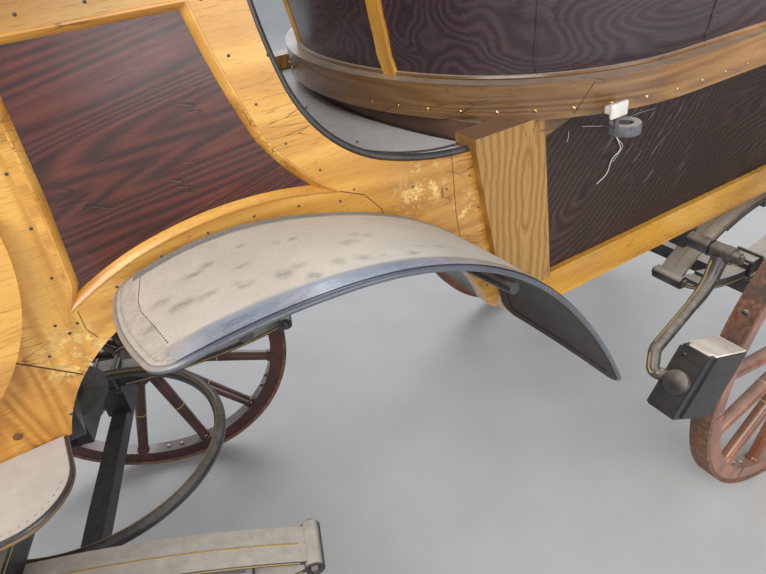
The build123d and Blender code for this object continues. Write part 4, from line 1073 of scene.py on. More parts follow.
def tub_line(grow, step=12.0, x1=TX1, rear_r=TR):
    """Plan of the tub's half from the nose to the middle of the back, y < 0."""
    r2 = (TY - NR * math.sin(NA)) / (1 - math.sin(NA))
    r1, r2, r3 = NR + grow, r2 + grow, rear_r + grow
    xa = TX0 - grow
    pts = []
    n = max(4, int(r1 * NA / step))
    for i in range(n + 1):
        a = NA * i / n
        pts.append((xa + r1 * (1 - math.cos(a)), -r1 * math.sin(a)))
    p1 = pts[-1]
    n = max(4, int(r2 * (math.pi / 2 - NA) / step))
    for i in range(1, n + 1):
        a = NA + (math.pi / 2 - NA) * i / n
        pts.append((p1[0] + r2 * (math.cos(NA) - math.cos(a)), p1[1] - r2 * (math.sin(a) - math.sin(NA))))
    xe, ye = x1 + grow - r3, -(TY + grow)
    p2 = pts[-1]
    n = max(2, int((xe - p2[0]) / step))
    pts += [(p2[0] + (xe - p2[0]) * i / n, ye) for i in range(1, n + 1)]
    n = max(4, int(r3 * math.pi / 2 / step))
    for i in range(1, n + 1):
        a = math.pi / 2 * i / n
        pts.append((xe + r3 * math.sin(a), ye + r3 * (1 - math.cos(a))))
    n = max(2, int(-pts[-1][1] / step))
    y0 = pts[-1][1]
    pts += [(x1 + grow, y0 * (1 - i / n)) for i in range(1, n + 1)]
    return pts


FL = math.tan(math.radians(10.0))


def tub_wall(z, extra=0.0):
    return tub_line(-30 + FL * (z - 1296.0) + extra)


def station(frac_pt, z, extra=0.0):
    """Point and outward normal on the tub wall at height z, by index along the plan."""
    line = tub_wall(z, extra)
    k = frac_pt * (len(line) - 1)
    i = min(int(k), len(line) - 2)
    a = k - i
    p = (line[i][0] * (1 - a) + line[i + 1][0] * a, line[i][1] * (1 - a) + line[i + 1][1] * a)
    t = norm((line[i + 1][0] - line[i][0], line[i + 1][1] - line[i][1], 0))
    nrm = (-t[1], t[0], 0)
    if nrm[0] * (p[0] - 1250) + nrm[1] * p[1] < 0:
        nrm = (-nrm[0], -nrm[1], 0)
    return p, nrm


def at_y(y, z):
    line = tub_wall(z)
    for i in range(len(line) - 1):
        if line[i][1] >= y >= line[i + 1][1]:
            return (i + (line[i][1] - y) / max(1e-6, line[i][1] - line[i + 1][1])) / (len(line) - 1)
    return 0.0


def at_x(x, z):
    line = tub_wall(z)
    for i in range(4, len(line) - 1):
        if line[i][0] <= x <= line[i + 1][0] and line[i][1] < -200:
            return (i + (x - line[i][0]) / max(1e-6, line[i + 1][0] - line[i][0])) / (len(line) - 1)
    return 0.0


def stile(frac0, frac1, w, t, round_=2.0):
    """Upright strip on the tub wall from its foot to its head."""
    rows = []
    for k in range(9):
        z = 1296.0 + (1560.0 - 1296.0) * k / 8
        fr = frac0 + (frac1 - frac0) * k / 8
        p, nr = station(fr, z)
        side = (-nr[1], nr[0], 0)
        lift = (0, 0, 0)
        rows.append([add3(add3((p[0], p[1], z), side, s * w / 2), nr, d) for s, d in ((-1, -1.0), (-1, t - round_), (-1 + 2 * round_ / w, t), (1 - 2 * round_ / w, t), (1, t - round_), (1, -1.0))])
    v = [q for r in rows for q in r]
    f = [(r * 6 + i, r * 6 + i + 1, (r + 1) * 6 + i + 1, (r + 1) * 6 + i) for r in range(8) for i in range(5)]
    return v, f


s = Shape()
f1 = at_y(-186, 1296)
s.add(*stile(f1, f1 - 0.004, 30, 6))
fr = at_x(1420, 1296)
s.add(*stile(fr, fr, 30, 6))
fb = at_y(-390, 1296)
fe = 0.935
s.add(*stile(fe, fe, 30, 6))
make("tub_stiles", s.both(), m_gold_z, "body")
s = Shape()
fs = at_y(-396, 1296)
s.add(*stile(fs, fs, 5, 2.0, 1.0))
fm = at_x(1160, 1296)
s.add(*stile(fm, fm, 5, 2.0, 1.0))
make("tub_seams", s.both(), m_rose_tub, "body")
# thin bead at the foot of the tub panels, and brass nails on the rail
s = Shape()
line = tub_wall(1299.0, 1.5)
s.add(*tube([(x, y, 1298.5) for x, y in line], 4.2, 8))
make("tub_foot_bead", s.both(), m_gold_warm, "body")
nails = Shape()
rail = tub_line(0.4, 6.0)
for c, t in resample([(x, y, 1254.0) for x, y in rail], 58.0)[1:]:
    nrm = norm((-t[1], t[0], 0))
    if nrm[0] * (c[0] - 1250) + nrm[1] * c[1] < 0:
        nrm = (-nrm[0], -nrm[1], 0)
    nails.add(*dome(c, nrm, 3.1, 1.7, 10))
make("rail_nails", nails.both(), m_brass, "body")
nails = Shape()
for c, t in resample([(x, y, 1577.0) for x, y in tub_line(26.2, 6.0)], 90.0)[1:]:
    nrm = norm((-t[1], t[0], 0))
    if nrm[0] * (c[0] - 1250) + nrm[1] * c[1] < 0:
        nrm = (-nrm[0], -nrm[1], 0)
    nails.add(*dome(c, nrm, 3.1, 1.7, 10))
make("top_rail_nails", nails.both(), m_brass, "body")
# scarf joints of the rail
j = Shape()
for x in (905, 1490):
    line = tub_line(0.35, 4.0)
    k = min(range(len(line)), key=lambda q: abs(line[q][0] - x) + (0 if line[q][1] < -200 else 999))
    p, q = line[k], line[min(len(line) - 1, k + 7)]
    t = norm((line[k + 1][0] - line[k][0], line[k + 1][1] - line[k][1], 0))
    nrm = (t[1], -t[0], 0)
    j.add(*ribbon([(p[0], p[1], 1245), (q[0], q[1], 1290)], [nrm, nrm], 1.0, 0.2))
make("rail_scarfs", j.both(), m_gap, "body")

# gusset under the rail behind the post
s = Shape().add(*extruded([(884, 1239.5), (1000, 1239.5), (992, 1234), (925, 1214), (886, 1203)], -413, -391))
make("post_gusset", s.both(), m_gold_warm, "body", mods=(("BEVEL", {"width": 0.002, "segments": 2, "limit_method": "ANGLE"}),))

# small white tab with a dusty black ring under the rail, and a cobweb
s = Shape()
s.add(*rbox(929, 964, -503, -497, 1241, 1264, 2.6, 3))
s.add(*rbox(938, 956, -498, -480, 1244, 1256, 2, 2))
make("white_tab", s, m_white_tab, "body")
s = Shape()
sec = [(24.8, -8.0), (24.8, 6.0), (23.4, 8.0), (13.4, 8.0), (12.0, 6.4), (12.0, -8.0), (14.0, -9.0), (23.0, -9.0)]
NA2, NS2 = 40, len(sec)
v = [(974 + r * math.cos(2 * math.pi * i / NA2), -492 + r * math.sin(2 * math.pi * i / NA2), 1217 + h) for i in range(NA2) for r, h in sec]
f = [(i * NS2 + k, ((i + 1) % NA2) * NS2 + k, ((i + 1) % NA2) * NS2 + (k + 1) % NS2, i * NS2 + (k + 1) % NS2) for i in range(NA2) for k in range(NS2)]
s.add(v, f)
s.add(*tube([(952, -493, 1238), (953, -493, 1222)], 4.0, 10))
make("hanging_ring", s, m_rubber, "body")
s = Shape()
for r0, r1, pts in ((1.3, 0.7, [(962, -478, 1212), (1000, -440, 1190), (1057, -396, 1167), (1078, -395, 1145), (1096, -395, 1117), (1071, -395, 1106), (1065, -395, 1078), (1038, -395, 1066)]),
                    (0.7, 0.5, [(1066, -395, 1158), (1086, -395, 1136), (1101, -395, 1122), (1076, -395, 1098)]), (0.9, 0.5, [(960, -480, 1214), (1010, -430, 1192), (1040, -396, 1176), (989, -395, 1189)]),
                    (0.5, 0.4, [(957, -395, 1189), (958, -395, 1180), (955, -395, 1171)]), (0.35, 0.25, [(988, -470, 1214), (1090, -420, 1190), (1175, -395, 1172)])):
    fine = []
    for a, b in zip(pts, pts[1:]):
        fine += [tuple(a[i] * (1 - u) + b[i] * u for i in range(3)) for u in np.linspace(0, 1, 5)[:-1]]
    fine.append(pts[-1])
    for _ in range(2):
        fine = [fine[0]] + [tuple(0.25 * a[i] + 0.5 * b[i] + 0.25 * c[i] for i in range(3)) for a, b, c in zip(fine, fine[1:], fine[2:])] + [fine[-1]]
    s.add(*tube(fine, [r0 + (r1 - r0) * i / (len(fine) - 1) for i in range(len(fine))], 5))
make("cobweb", s, m_web, "body")

# ------------------------------------------------ front box, toe board, iron
s = Shape()
for y0, y1 in ((-345, -12), (12, 345)):
    # raised moulding of two sunk panels on the box's front and back
    for x, sg in ((-350.0, -1), (445.0, 1)):
        z0, z1 = (1062, 1500) if sg < 0 else (1232, 1500)
        pts = [(x, y0 + 14, z0), (x, y1 - 14, z0), (x, y1 - 14, z1), (x, y0 + 14, z1)]
        loop = []
        for i in range(4):
            a, b = pts[i], pts[(i + 1) % 4]
            loop += [tuple(a[q] + (b[q] - a[q]) * t / 8 for q in range(3)) for t in range(8)]
        s.add(*tube(loop, 5.0, 8, closed=True))
make("box_mouldings", s, m_gold_x, "body")
s = Shape()
for z in (1064, 1126, 1188):
    pass
k = 0
for u in (0.12, 0.34, 0.56, 0.78):
    # battens across the toe board, where the driver's feet press
    x, z = -766 + (-880 + 766) * u, 1030 + 232 * u
    s.add(*tube([(x + 2.5, -388, z), (x + 2.5, 388, z)], 5.5, 8))
make("toe_battens", s, m_iron, "body")
bolts = Shape()
for y in (-360, -120, 120, 360):
    for u in (0.06, 0.9):
        x, z = -766 + (-880 + 766) * u, 1030 + 232 * u
        bolts.add(*dome((x + 1, y, z), (0.9, 0, 0.44), 6, 3, 12))
make("toe_bolts", bolts, m_bolt, "body")

# dashboard: leather on an iron frame, with a bound edge and stitches
DB0, DB1 = (-891.0, 1258.0), (-967.0, 1498.0)


def dash_pt(u, y, off=0.0):
    dx, dz = DB1[0] - DB0[0], DB1[1] - DB0[1]
    l = math.hypot(dx, dz)
    nx, nz = dz / l, -dx / l
    bow = 5.0 * math.sin(math.pi * u) * (1 - (y / 400.0) ** 2)
    return (DB0[0] + dx * u + nx * (off + bow), y, DB0[1] + dz * u + nz * (off + bow))


def dash_outline(inset):
    l, r = 252.0, 70.0 - inset * 0.6
    w, u0, u1 = 398.0 - inset, inset / l, 1.0 - inset / l
    ru = r / l
    pts = [(u0, -w + 6), (u0, w - 6)]
    pts += [(u1 - ru + ru * math.sin(a), w - r + r * math.cos(a)) for a in np.linspace(0, math.pi / 2, 9)]
    pts += [(u1 - ru + ru * math.cos(a), -w + r - r * math.sin(a)) for a in np.linspace(0, math.pi / 2, 9)]
    return pts


bm_v, bm_f = [], []
NU, NY = 22, 66
for i in range(NU + 1):
    for jj in range(NY + 1):
        u, y = i / NU, -1 + 2 * jj / NY
        w = 396.0
        ru = 70.0 / 252.0
        if u > 1 - ru:
            q = (u - (1 - ru)) / ru
            w = 396.0 - 70.0 * (1 - math.sqrt(max(0.0, 1 - q * q)))
        bm_v.append(dash_pt(u, y * w, 0.6 * math.sin(jj * 1.7) * math.sin(i * 0.9)))
for i in range(NU):
    for jj in range(NY):
        a = i * (NY + 1) + jj
        bm_f.append((a, a + 1, a + NY + 2, a + NY + 1))
sh = Shape().add(bm_v, bm_f)
o = make("dash_leather", sh, m_black_leather, "body", auto=0, mods=(("SOLIDIFY", {"thickness": 0.009, "offset": 0.0}),))
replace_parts(o, "dashboard")
s = Shape()
ol = [dash_pt(u, y) for u, y in dash_outline(0)]
s.add(*tube([p for p, t in resample(ol, 12, closed=True)], 8.0, 10, closed=True))
for y in (-200, 0, 200):
    s.add(*tube([dash_pt(u, y, 5.5) for u in np.linspace(0.0, 0.97, 9)], 4.5, 8))
make("dash_frame", s, m_piping, "body")
st = Shape()
nrm = norm((252.0, 0, 76.0))
for c, t in resample([dash_pt(u, y, 5.3) for u, y in dash_outline(16)], 8.5, closed=True):
    st.add(*dash(c, t, nrm, 5.4, 0.9))
    st.add(*dash(add3(c, nrm, -10.6), t, tuple(-x for x in nrm), 5.4, 0.9))
make("dash_stitches", st, m_thread_dark, "body")

# -------------------------------------------------------------------- wheels
WHEELS = [("front_left", 450.0, 12, 15.0, -1, True), ("front_right", 450.0, 12, 15.0, 1, True), ("rear_left", 500.0, 14, 17.5, -1, False), ("rear_right", 500.0, 14, 17.5, 1, False)]
for name, R, spokes, phase, side, is_front in WHEELS:
    body = name + "_wheel"
    cx, cy = (-40.0, side * 577.0) if is_front else (1756.0, side * 577.0)
    place = F if is_front else D
    out = (0, side, 0)

    def rim_pt(a, r, y):
        return (cx + r * math.cos(a), cy + y * side, R + r * math.sin(a))

    bolts, bands, lines, stripes = Shape(), Shape(), Shape(), Shape()
    for k in range(spokes):
        a = math.radians(360.0 / spokes * (k + 0.5) + phase)
        if k % 2 == 0:
            # felloe joint: a dark line across both faces and inside, with two bolts
            for y, n3 in ((22.15, out), (-22.15, (0, -side, 0))):
                lines.add(*ribbon([rim_pt(a, R - 50.0, y), rim_pt(a, R - 12.5, y)], [n3, n3], 1.6, 0.3))
            for da in (-0.055, 0.055):
                c = rim_pt(a + da, R - 50.0, 0.0)
                inward = (-math.cos(a + da), 0, -math.sin(a + da))
                bolts.add(*hexnut(add3(c, inward, -0.6), inward, 7.0, 5.5, 2.0))
        # flush tyre bolt
        a2 = math.radians(360.0 / spokes * k + phase + 5.0)
        bolts.add(*dome(rim_pt(a2, R - 0.2, 0.0), (math.cos(a2), 0, math.sin(a2)), 7.0, 1.2, 10))
        # ferrule-like shoulder of each spoke at the felloe
        a3 = math.radians(360.0 / spokes * k + phase)
        d3 = (math.cos(a3), 0, math.sin(a3))
        q = [add3((cx, cy, R), d3, rr) for rr in (R - 62.0, R - 57.0, R - 50.5)]
        bands.add(*tube(q, [17.0, 19.5, 19.5], 12))
        q = [add3((cx, cy, R), d3, rr) for rr in (64.0, 78.0, 92.0)]
        bands.add(*tube(q, [22.0, 22.5, 20.4], 12))
        # thin gold line round each spoke's middle
        q = [add3((cx, cy, R), d3, rr) for rr in (R * 0.52, R * 0.52 + 3.0)]
        stripes.add(*tube(q, [18.6, 18.5], 14))
    for y0, y1, ra, rb in ((-86, -74, 51.6, 53.6), (-36, -24, 67.4, 67.4), (26, 38, 67.4, 65.6), (78, 90, 50.6, 48.0)):
        # iron bands round the nave
        v, f = [], []
        N = 40
        for y, r in ((y0, ra - 1.5), (y0, ra), (y1, rb), (y1, rb - 1.5)):
            for i in range(N):
                v.append(rim_pt(2 * math.pi * i / N, r, y))
        for rr in range(3):
            for i in range(N):
                f.append((rr * N + i, rr * N + (i + 1) % N, (rr + 1) * N + (i + 1) % N, (rr + 1) * N + i))
        lines.add([], [])
        stripes.add([], [])
        if ra > 60 or True:
            bolts.add(v, f)
    # hexagonal end of the cap and its ring of small screws
    bolts_cap = Shape()
    bolts_cap.add(*hexnut((cx, cy + side * 127.5, R), out, 24.0, 7.5, 2.0))
    for i in range(6):
        a = 2 * math.pi * i / 6 + 0.3
        bolts_cap.add(*dome(rim_pt(a, 38.0, 102.0), out, 2.6, 1.5, 8))
    make("cap_details_" + name, bolts_cap, m_brass, body, place)
    make("wheel_irons_" + name, bolts, m_iron_dusty, body, place)
    make("wheel_collars_" + name, bands, m_wheel if is_front else m_wheel_r, body, place)
    make("felloe_joints_" + name, lines, m_gap, body, place)
    make("spoke_lines_" + name, stripes, m_goldline, body, place)

# --------------------------------------------------------- springs and axles
SPRINGS = [("front", -40.0, 342.0, 480.0, 560.0, 652.0, 742.0, 66.0, F, "fore_carriage"), ("rear", 1756.0, 330.0, 340.0, 540.0, 662.0, 806.0, 60.0, D, "body")]
for name, x0, ys, half, zl, ze, zt, w, place, body in SPRINGS:
    gold, irons = Shape(), Shape()
    for side in (-1, 1):
        y = ys * side
        for sign, zm in ((1, zt), (-1, zl)):
            rise = abs(zm - ze) - 9.0
            rad = (half * half + rise * rise) / (2 * rise)
            zc = zm - sign * rad
            a1 = math.asin(half / rad)
            pts = []
            nrm = []
            for a in np.linspace(-a1 * 0.95, a1 * 0.95, 41):
                if abs(a) < a1 * 0.09:
                    continue
                pts.append((x0 + (rad) * math.sin(a), y, zc + sign * rad * math.cos(a)))
                nrm.append((math.sin(a), 0, sign * math.cos(a)))
            cut = len(pts) // 2
            for q, nn in ((pts[:cut], nrm[:cut]), (pts[cut:], nrm[cut:])):
                gold.add(*ribbon(q, nn, 3.0, 0.5))
                for off in (-w / 2 - 0.2, w / 2 + 0.2):
                    sidev = (0, 1 if off > 0 else -1, 0)
                    gold.add(*ribbon([(p[0] - m[0] * 4.5, y + off, p[2] - m[2] * 4.5) for p, m in zip(q, nn)], [sidev] * len(q), 2.0, 0.4))
            # U bolts and nuts over the middle
            for dx in (-24.0, 24.0):
                zz = zm + (3.0 if sign > 0 else -3.0)
                if sign < 0:
                    zn = zl - 2.0
                    for dy in (-w / 2 - 5.0, w / 2 + 5.0):
                        irons.add(*tube([(x0 + dx, y + dy, zl - 14), (x0 + dx, y + dy, zl + 50)], 4.2, 8))
                        irons.add(*hexnut((x0 + dx, y + dy, zl - 6), (0, 0, -1), 8.0, 7.0, 2.5))
                    irons.add(*tube([(x0 + dx, y - w / 2 - 5, zl + 48), (x0 + dx, y + w / 2 + 5, zl + 48)], 4.2, 8))
        # eye bolts at both ends
        for sx in (-1, 1):
            cxx = x0 + sx * (half - 2)
            for dy, ax in ((w / 2 + 8.0, 1), (-w / 2 - 8.0, -1)):
                irons.add(*hexnut((cxx, y + dy - ax * 0.3, ze), (0, ax, 0), 11.0, 8.0, 3.0))
                irons.add(*tube([(cxx, y + dy - ax * 2, ze), (cxx, y + dy + ax * 1.2, ze)], 16.0, 20))
    make("spring_lines_" + name, gold, m_goldline, body, place)
    make("spring_irons_" + name, irons, m_iron, body, place)

# gold lines and bolts of the hoop, the bed and the futchells
gold, irons = Shape(), Shape()
N = 120
HA, HB, HZ, HR = 275.0, 248.0, 650.0, 12.5
pts, nr = [], []
for i in range(N + 1):
    a = 2 * math.pi * i / N
    c = (HA * math.cos(a), HB * math.sin(a), HZ)
    o3 = norm((math.cos(a) / HA, math.sin(a) / HB, 0))
    n3 = norm((-0.45 * o3[0], -0.45 * o3[1], 0.9))
    pts.append(add3(c, n3, HR + 0.1))
    nr.append(n3)
seg = []
for p, q in zip(pts, nr):
    # not over the two blocks that hold the hoop
    if -158 < p[0] < -106 and abs(p[1]) > 180:
        if len(seg) > 1:
            gold.add(*ribbon([x for x, y in seg], [y for x, y in seg], 2.6, 0.4))
        seg = []
    else:
        seg.append((p, q))
gold.add(*ribbon([x for x, y in seg], [y for x, y in seg], 2.6, 0.4))
for s1 in (-1, 1):
    for xx, yy2 in ((-160, s1 * 143), (-40, s1 * 125), (-320, s1 * 168)):
        irons.add(*hexnut((xx, yy2, 686.2), (0, 0, -1), 10.0, 8.0, 3.0))
    irons.add(*hexnut((-220, s1 * 148.6, HZ - HR + 1.0), (0, 0, -1), 10.0, 8.0, 3.0))
    irons.add(*hexnut((-132, s1 * 217.7, 665.8), (0, 0, 1), 9.0, 7.0, 2.5))
    for yy2 in (300, 368):
        irons.add(*dome((-40, s1 * yy2, 795.8), (0, 0, 1), 10.0, 4.5, 12))
    irons.add(*hexnut((-665, s1 * 250, 721.8), (0, 0, 1), 10.0, 8.0, 3.0))
    irons.add(*hexnut((-665, s1 * 216, 686.2), (0, 0, -1), 10.0, 8.0, 3.0))
    gold.add(*ribbon([(-1.8, s1 * yy2, 788) for yy2 in range(76, 388, 12)], [(1, 0, 0)] * 26, 2.4, 0.4))
    gold.add(*ribbon([(-78.2, s1 * yy2, 788) for yy2 in range(10, 388, 12)], [(-1, 0, 0)] * 32, 2.4, 0.4))
    gold.add(*ribbon([(-690.3, s1 * yy2, 716) for yy2 in range(6, 212, 10)], [(-1, 0, 0)] * 21, 2.4, 0.4))
make("fore_gold_lines", gold, m_goldline, "fore_carriage", F)
make("fore_irons", irons, m_iron, "fore_carriage", F)
king = Shape().add(*hexnut((KING_X, 0, 715.2), (0, 0, -1), 22.0, 9.0, 3.0))
make("king_nut", king, m_iron, "body", D)

# brake: shaft nuts, clad blocks with dusty tops, round lugs, gold lined rods
irons, wood_top, gold = Shape(), Shape(), Shape()
BX, BZ = 1352.0, 832.0
A2, B2, C2, D2 = (1146.0, 737.0), (1065.0, 619.0), (1191.0, 547.0), (1278.0, 686.0)


def lerp2(p, q, t):
    return (p[0] + (q[0] - p[0]) * t, p[1] + (q[1] - p[1]) * t)


def off2(p, n, d):
    return (p[0] + n[0] * d, p[1] + n[1] * d)


NF = norm((B2[1] - A2[1], 0, -(B2[0] - A2[0])))
NF = (NF[0], NF[2])            # outwards from the front face
NT = norm((-(D2[1] - A2[1]), 0, D2[0] - A2[0]))
NT = (NT[0], NT[2])            # outwards from the top face
lugs = Shape()
for s1 in (-1, 1):
    def yy(*ys):
        return sorted(s1 * y for y in ys)

    y0, y1 = yy(558.5, 621.5)
    a, b = lerp2(A2, B2, 0.03), lerp2(A2, B2, 0.97)
    irons.add(*extruded([off2(a, NF, -1), off2(b, NF, -1), off2(b, NF, 7), off2(a, NF, 7)], y0, y1))
    a, b = lerp2(A2, B2, 0.16), lerp2(A2, B2, 0.90)
    y0, y1 = yy(572, 619)
    irons.add(*extruded([off2(a, NF, 6), off2(b, NF, 6), off2(b, NF, 11), off2(a, NF, 11)], y0, y1))
    # cheek plates on the near and the inner face
    for ya, yb in ((619.2, 624.0), (556.0, 560.8)):
        y0, y1 = yy(ya, yb)
        inner = [lerp2(A2, D2, 0.16), lerp2(B2, C2, 0.18), lerp2(B2, C2, 0.97), lerp2(A2, D2, 0.96)]
        irons.add(*extruded([off2(p, NT, -3) if k in (0, 3) else off2(p, NT, 3) for k, p in enumerate(inner)], y0, y1))
    # dusty top board with notched corners
    t0, t1 = lerp2(A2, D2, 0.04), lerp2(A2, D2, 0.97)
    tx, tz = D2[0] - A2[0], D2[1] - A2[1]
    top_out = [(0.05, 568), (0.16, 568), (0.16, 559), (0.96, 559), (0.96, 621), (0.14, 621), (0.14, 612), (0.05, 612)]
    v = []
    for h in (-1.0, 3.5):
        for t, y in top_out:
            q = off2(lerp2(A2, D2, t), NT, h)
            v.append((q[0], s1 * y, q[1]))
    k = len(top_out)
    f = [tuple(range(k))[::-1], tuple(range(k, 2 * k))] + [(i, (i + 1) % k, k + (i + 1) % k, k + i) for i in range(k)]
    wood_top.add(v, f)
    # round lug round the rod's end, and bolts
    m2 = off2(lerp2(A2, B2, 0.50), NF, 10)
    c = (m2[0], s1 * 594, m2[1])
    lugs.add(*tube([c, (c[0] + NF[0] * 12, c[1], c[2] + NF[1] * 12)], 25.0, 28))
    lugs.add(*tube([(c[0] + NF[0] * 12, c[1], c[2] + NF[1] * 12), (c[0] + NF[0] * 14, c[1], c[2] + NF[1] * 14)], [25.0, 22.5], 28))
    for t, y in ((0.12, 575), (0.88, 612), (0.88, 575)):
        q = off2(lerp2(A2, B2, t), NF, 6.5)
        irons.add(*dome((q[0], s1 * y, q[1]), (NF[0], 0, NF[1]), 5.0, 3.0, 12))
    for t, w2 in ((0.35, 0.3), (0.75, 0.3), (0.35, 0.75), (0.75, 0.75)):
        q = lerp2(lerp2(A2, D2, t), lerp2(B2, C2, t), w2)
        irons.add(*dome((q[0], s1 * 623.8, q[1]), (0, s1, 0), 4.0, 1.6, 12))
    # nut, washer and split end of the shaft
    lugs.add(*tube([(BX, s1 * 489.0, BZ), (BX, s1 * 507.5, BZ)], [19.5, 19.5], 24))
    lugs.add(*tube([(BX, s1 * 507.0, BZ), (BX, s1 * 522.0, BZ)], [13.5, 13.5], 20))
    lugs.add(*hexnut((BX, s1 * 521.5, BZ), (0, s1, 0), 11.0, 6.5, 2.5))
    lugs.add(*tube([(BX, s1 * 451.0, BZ), (BX, s1 * 456.5, BZ)], [19.5, 19.5], 24))
    # swelling of the rod under its eye, and the gold line down it
    path = [(BX, 482, BZ), (1308, 490, 762), (1105, 528, 722), (1078, 548, 690), (1132, 588, 664)]
    soft = [path[0]]
    for k in range(1, 4):
        p0, p1, p2 = path[k - 1], path[k], path[k + 1]
        r2 = (60.0, 24.0, 15.0)[k - 1] * 0.75
        d0, d1 = min(r2, math.dist(p0, p1) * 0.45), min(r2, math.dist(p1, p2) * 0.45)
        q0, q1 = add3(p1, norm(sub3(p0, p1)), d0), add3(p1, norm(sub3(p2, p1)), d1)
        for t in np.linspace(0, 1, 9):
            soft.append(tuple(q0[i] * (1 - t) ** 2 + 2 * p1[i] * t * (1 - t) + q1[i] * t * t for i in range(3)))
    soft.append(path[-1])
    fine = [p for p, t in resample(soft, 6.0)]
    sw = [(p[0], s1 * p[1], p[2]) for p in fine[2:24]]
    lugs.add(*tube(sw, [19.0 - 5.2 * (i / (len(sw) - 1)) ** 0.7 for i in range(len(sw))], 16))
    gl, gn = [], []
    for i in range(4, len(fine) - 9):
        t = norm(sub3(fine[i + 1], fine[i - 1]))
        d3 = (-0.55, -0.35, 0.75)
        n3 = norm(sub3(d3, tuple(c2 * dot(d3, t) for c2 in t)))
        rr = 13.2 + (max(0.0, 19.0 - 5.2 * ((i - 2) / 21) ** 0.7 - 13.0) if i < 24 else 0.0)
        p3 = add3(fine[i], n3, rr)
        gl.append((p3[0], s1 * p3[1], p3[2]))
        gn.append((n3[0], s1 * n3[1], n3[2]))
    gold.add(*ribbon(gl, gn, 3.4, 0.4))
make("brake_irons", irons, m_block, "brake", D)
make("brake_lugs", lugs, m_brake, "brake", D)
make("brake_lines", gold, m_goldline, "brake", D)
make("brake_block_tops", wood_top, m_dusty_wood, "brake", D, mods=(("BEVEL", {"width": 0.0012, "segments": 2, "limit_method": "ANGLE"}),))


def padded(name, node, voxel, shrink, pins, cap, pressure=4.0):
    """Stuffed piece from its CAD solid: remeshed, drawn in, blown up as cloth
    that is held at the buttons, and capped."""
    src = NODES[node]
    o = bpy.data.objects.new(name, src.data.copy())
    scene.collection.objects.link(o)
    md = o.modifiers.new("remesh", "REMESH")
    md.mode = "VOXEL"
    md.voxel_size = voxel
    dg = bpy.context.evaluated_depsgraph_get()
    me = bpy.data.meshes.new_from_object(o.evaluated_get(dg))
    o.modifiers.clear()
    o.data = me
    bm = bmesh.new()
    bm.from_mesh(me)
    for _ in range(4):
        bmesh.ops.smooth_vert(bm, verts=bm.verts, factor=0.5, use_axis_x=True, use_axis_y=True, use_axis_z=True)
    bm.normal_update()
    for v in bm.verts:
        v.co = v.co - v.normal * shrink
    for _ in range(3):
        bmesh.ops.smooth_vert(bm, verts=bm.verts, factor=0.5, use_axis_x=True, use_axis_y=True, use_axis_z=True)
    bm.to_mesh(me)
    bm.free()
    n = len(me.vertices)
    rest = np.zeros(n * 3, np.float32)
    me.vertices.foreach_get("co", rest)
    rest = rest.reshape(-1, 3)
    nor = np.zeros(n * 3, np.float32)
    me.vertices.foreach_get("normal", nor)
    nor = nor.reshape(-1, 3)
    # held points: buttons and their neighbours
    held = np.zeros(n, bool)
    where = []
    for p, d in pins:
        p = np.array(D(p), np.float32)
        d = np.array(d, np.float32)
        ok = nor @ d > 0.35
        if not ok.any():
            continue
        dist = np.linalg.norm(rest - p, axis=1) + np.where(ok, 0, 9)
        k = int(np.argmin(dist))
        near = np.linalg.norm(rest - rest[k], axis=1) < voxel * 1.15
        held |= near
        where.append((k, d))
    depth = np.zeros(n, np.float32)
    for k, d in where:
        dd = np.linalg.norm(rest - rest[k], axis=1)
        pull = np.exp(-(dd / 0.018) ** 2) * 0.010
        ok = nor @ d > 0.2
        depth = np.maximum(depth, np.where(ok, pull, 0))
    base = rest - nor * depth[:, None]
    me.vertices.foreach_set("co", base.astype(np.float32).ravel())
    final = base
    vg = o.vertex_groups.new(name="held")
    low = rest[:, 2].min()
    fixed = held | (rest[:, 2] < low + 0.004)
    vg.add([int(i) for i in np.nonzero(fixed)[0]], 1.0, "REPLACE")
    c = o.modifiers.new("cloth", "CLOTH")
    st = c.settings
    st.quality = 4
    st.mass = 0.3
    st.tension_stiffness = st.compression_stiffness = 12
    st.shear_stiffness = 6
    st.bending_stiffness = 0.6
    st.use_pressure = True
    st.uniform_pressure_force = pressure
    st.vertex_group_mass = "held"
    st.effector_weights.gravity = 0.0
    c.collision_settings.use_collision = False
    c.collision_settings.use_self_collision = False
    c.point_cache.frame_start = 1
    c.point_cache.frame_end = 20
    for fr in range(1, 21):
        scene.frame_set(fr)
    dg = bpy.context.evaluated_depsgraph_get()
    ev = o.evaluated_get(dg)
    got = np.zeros(n * 3, np.float32)
    ev.data.vertices.foreach_get("co", got)
    got = got.reshape(-1, 3)
    o.modifiers.clear()
    o.vertex_groups.clear()
    move = got - base
    l = np.linalg.norm(move, axis=1)
    k = np.minimum(1.0, cap / np.maximum(l, 1e-9))
    final = base + move * k[:, None]
    scene.frame_set(1)
    # stay inside the CAD solid's box
    lo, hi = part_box(node)
    final = np.clip(final, np.array(lo) - 0.002, np.array(hi) + 0.004)
    me.vertices.foreach_set("co", final.astype(np.float32).ravel())
    me.update()
    me.materials.clear()
    me.materials.append(m_seat)
    me.shade_smooth()
    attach(o, "body")
    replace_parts(o, node)
    # buttons in the hollows
    b = Shape()
    for k, d in where:
        p = final[k]
        c = (p[0] * 1000 - SX, p[1] * 1000 - SY, p[2] * 1000)
        b.add(*dome(add3(c, tuple(float(x) for x in d), -1.5), tuple(float(x) for x in d), 8.5, 4.5, 14))
    if b.v:
        make(name + "_buttons", b, m_seat, "body")
    return o


def diamonds(us, vs, fn):
    out = []
    for i, u in enumerate(us):
        row = vs if i % 2 == 0 else [(a + b) / 2 for a, b in zip(vs, vs[1:])]
        for v in row:
            out.append(fn(u, v))
    return out


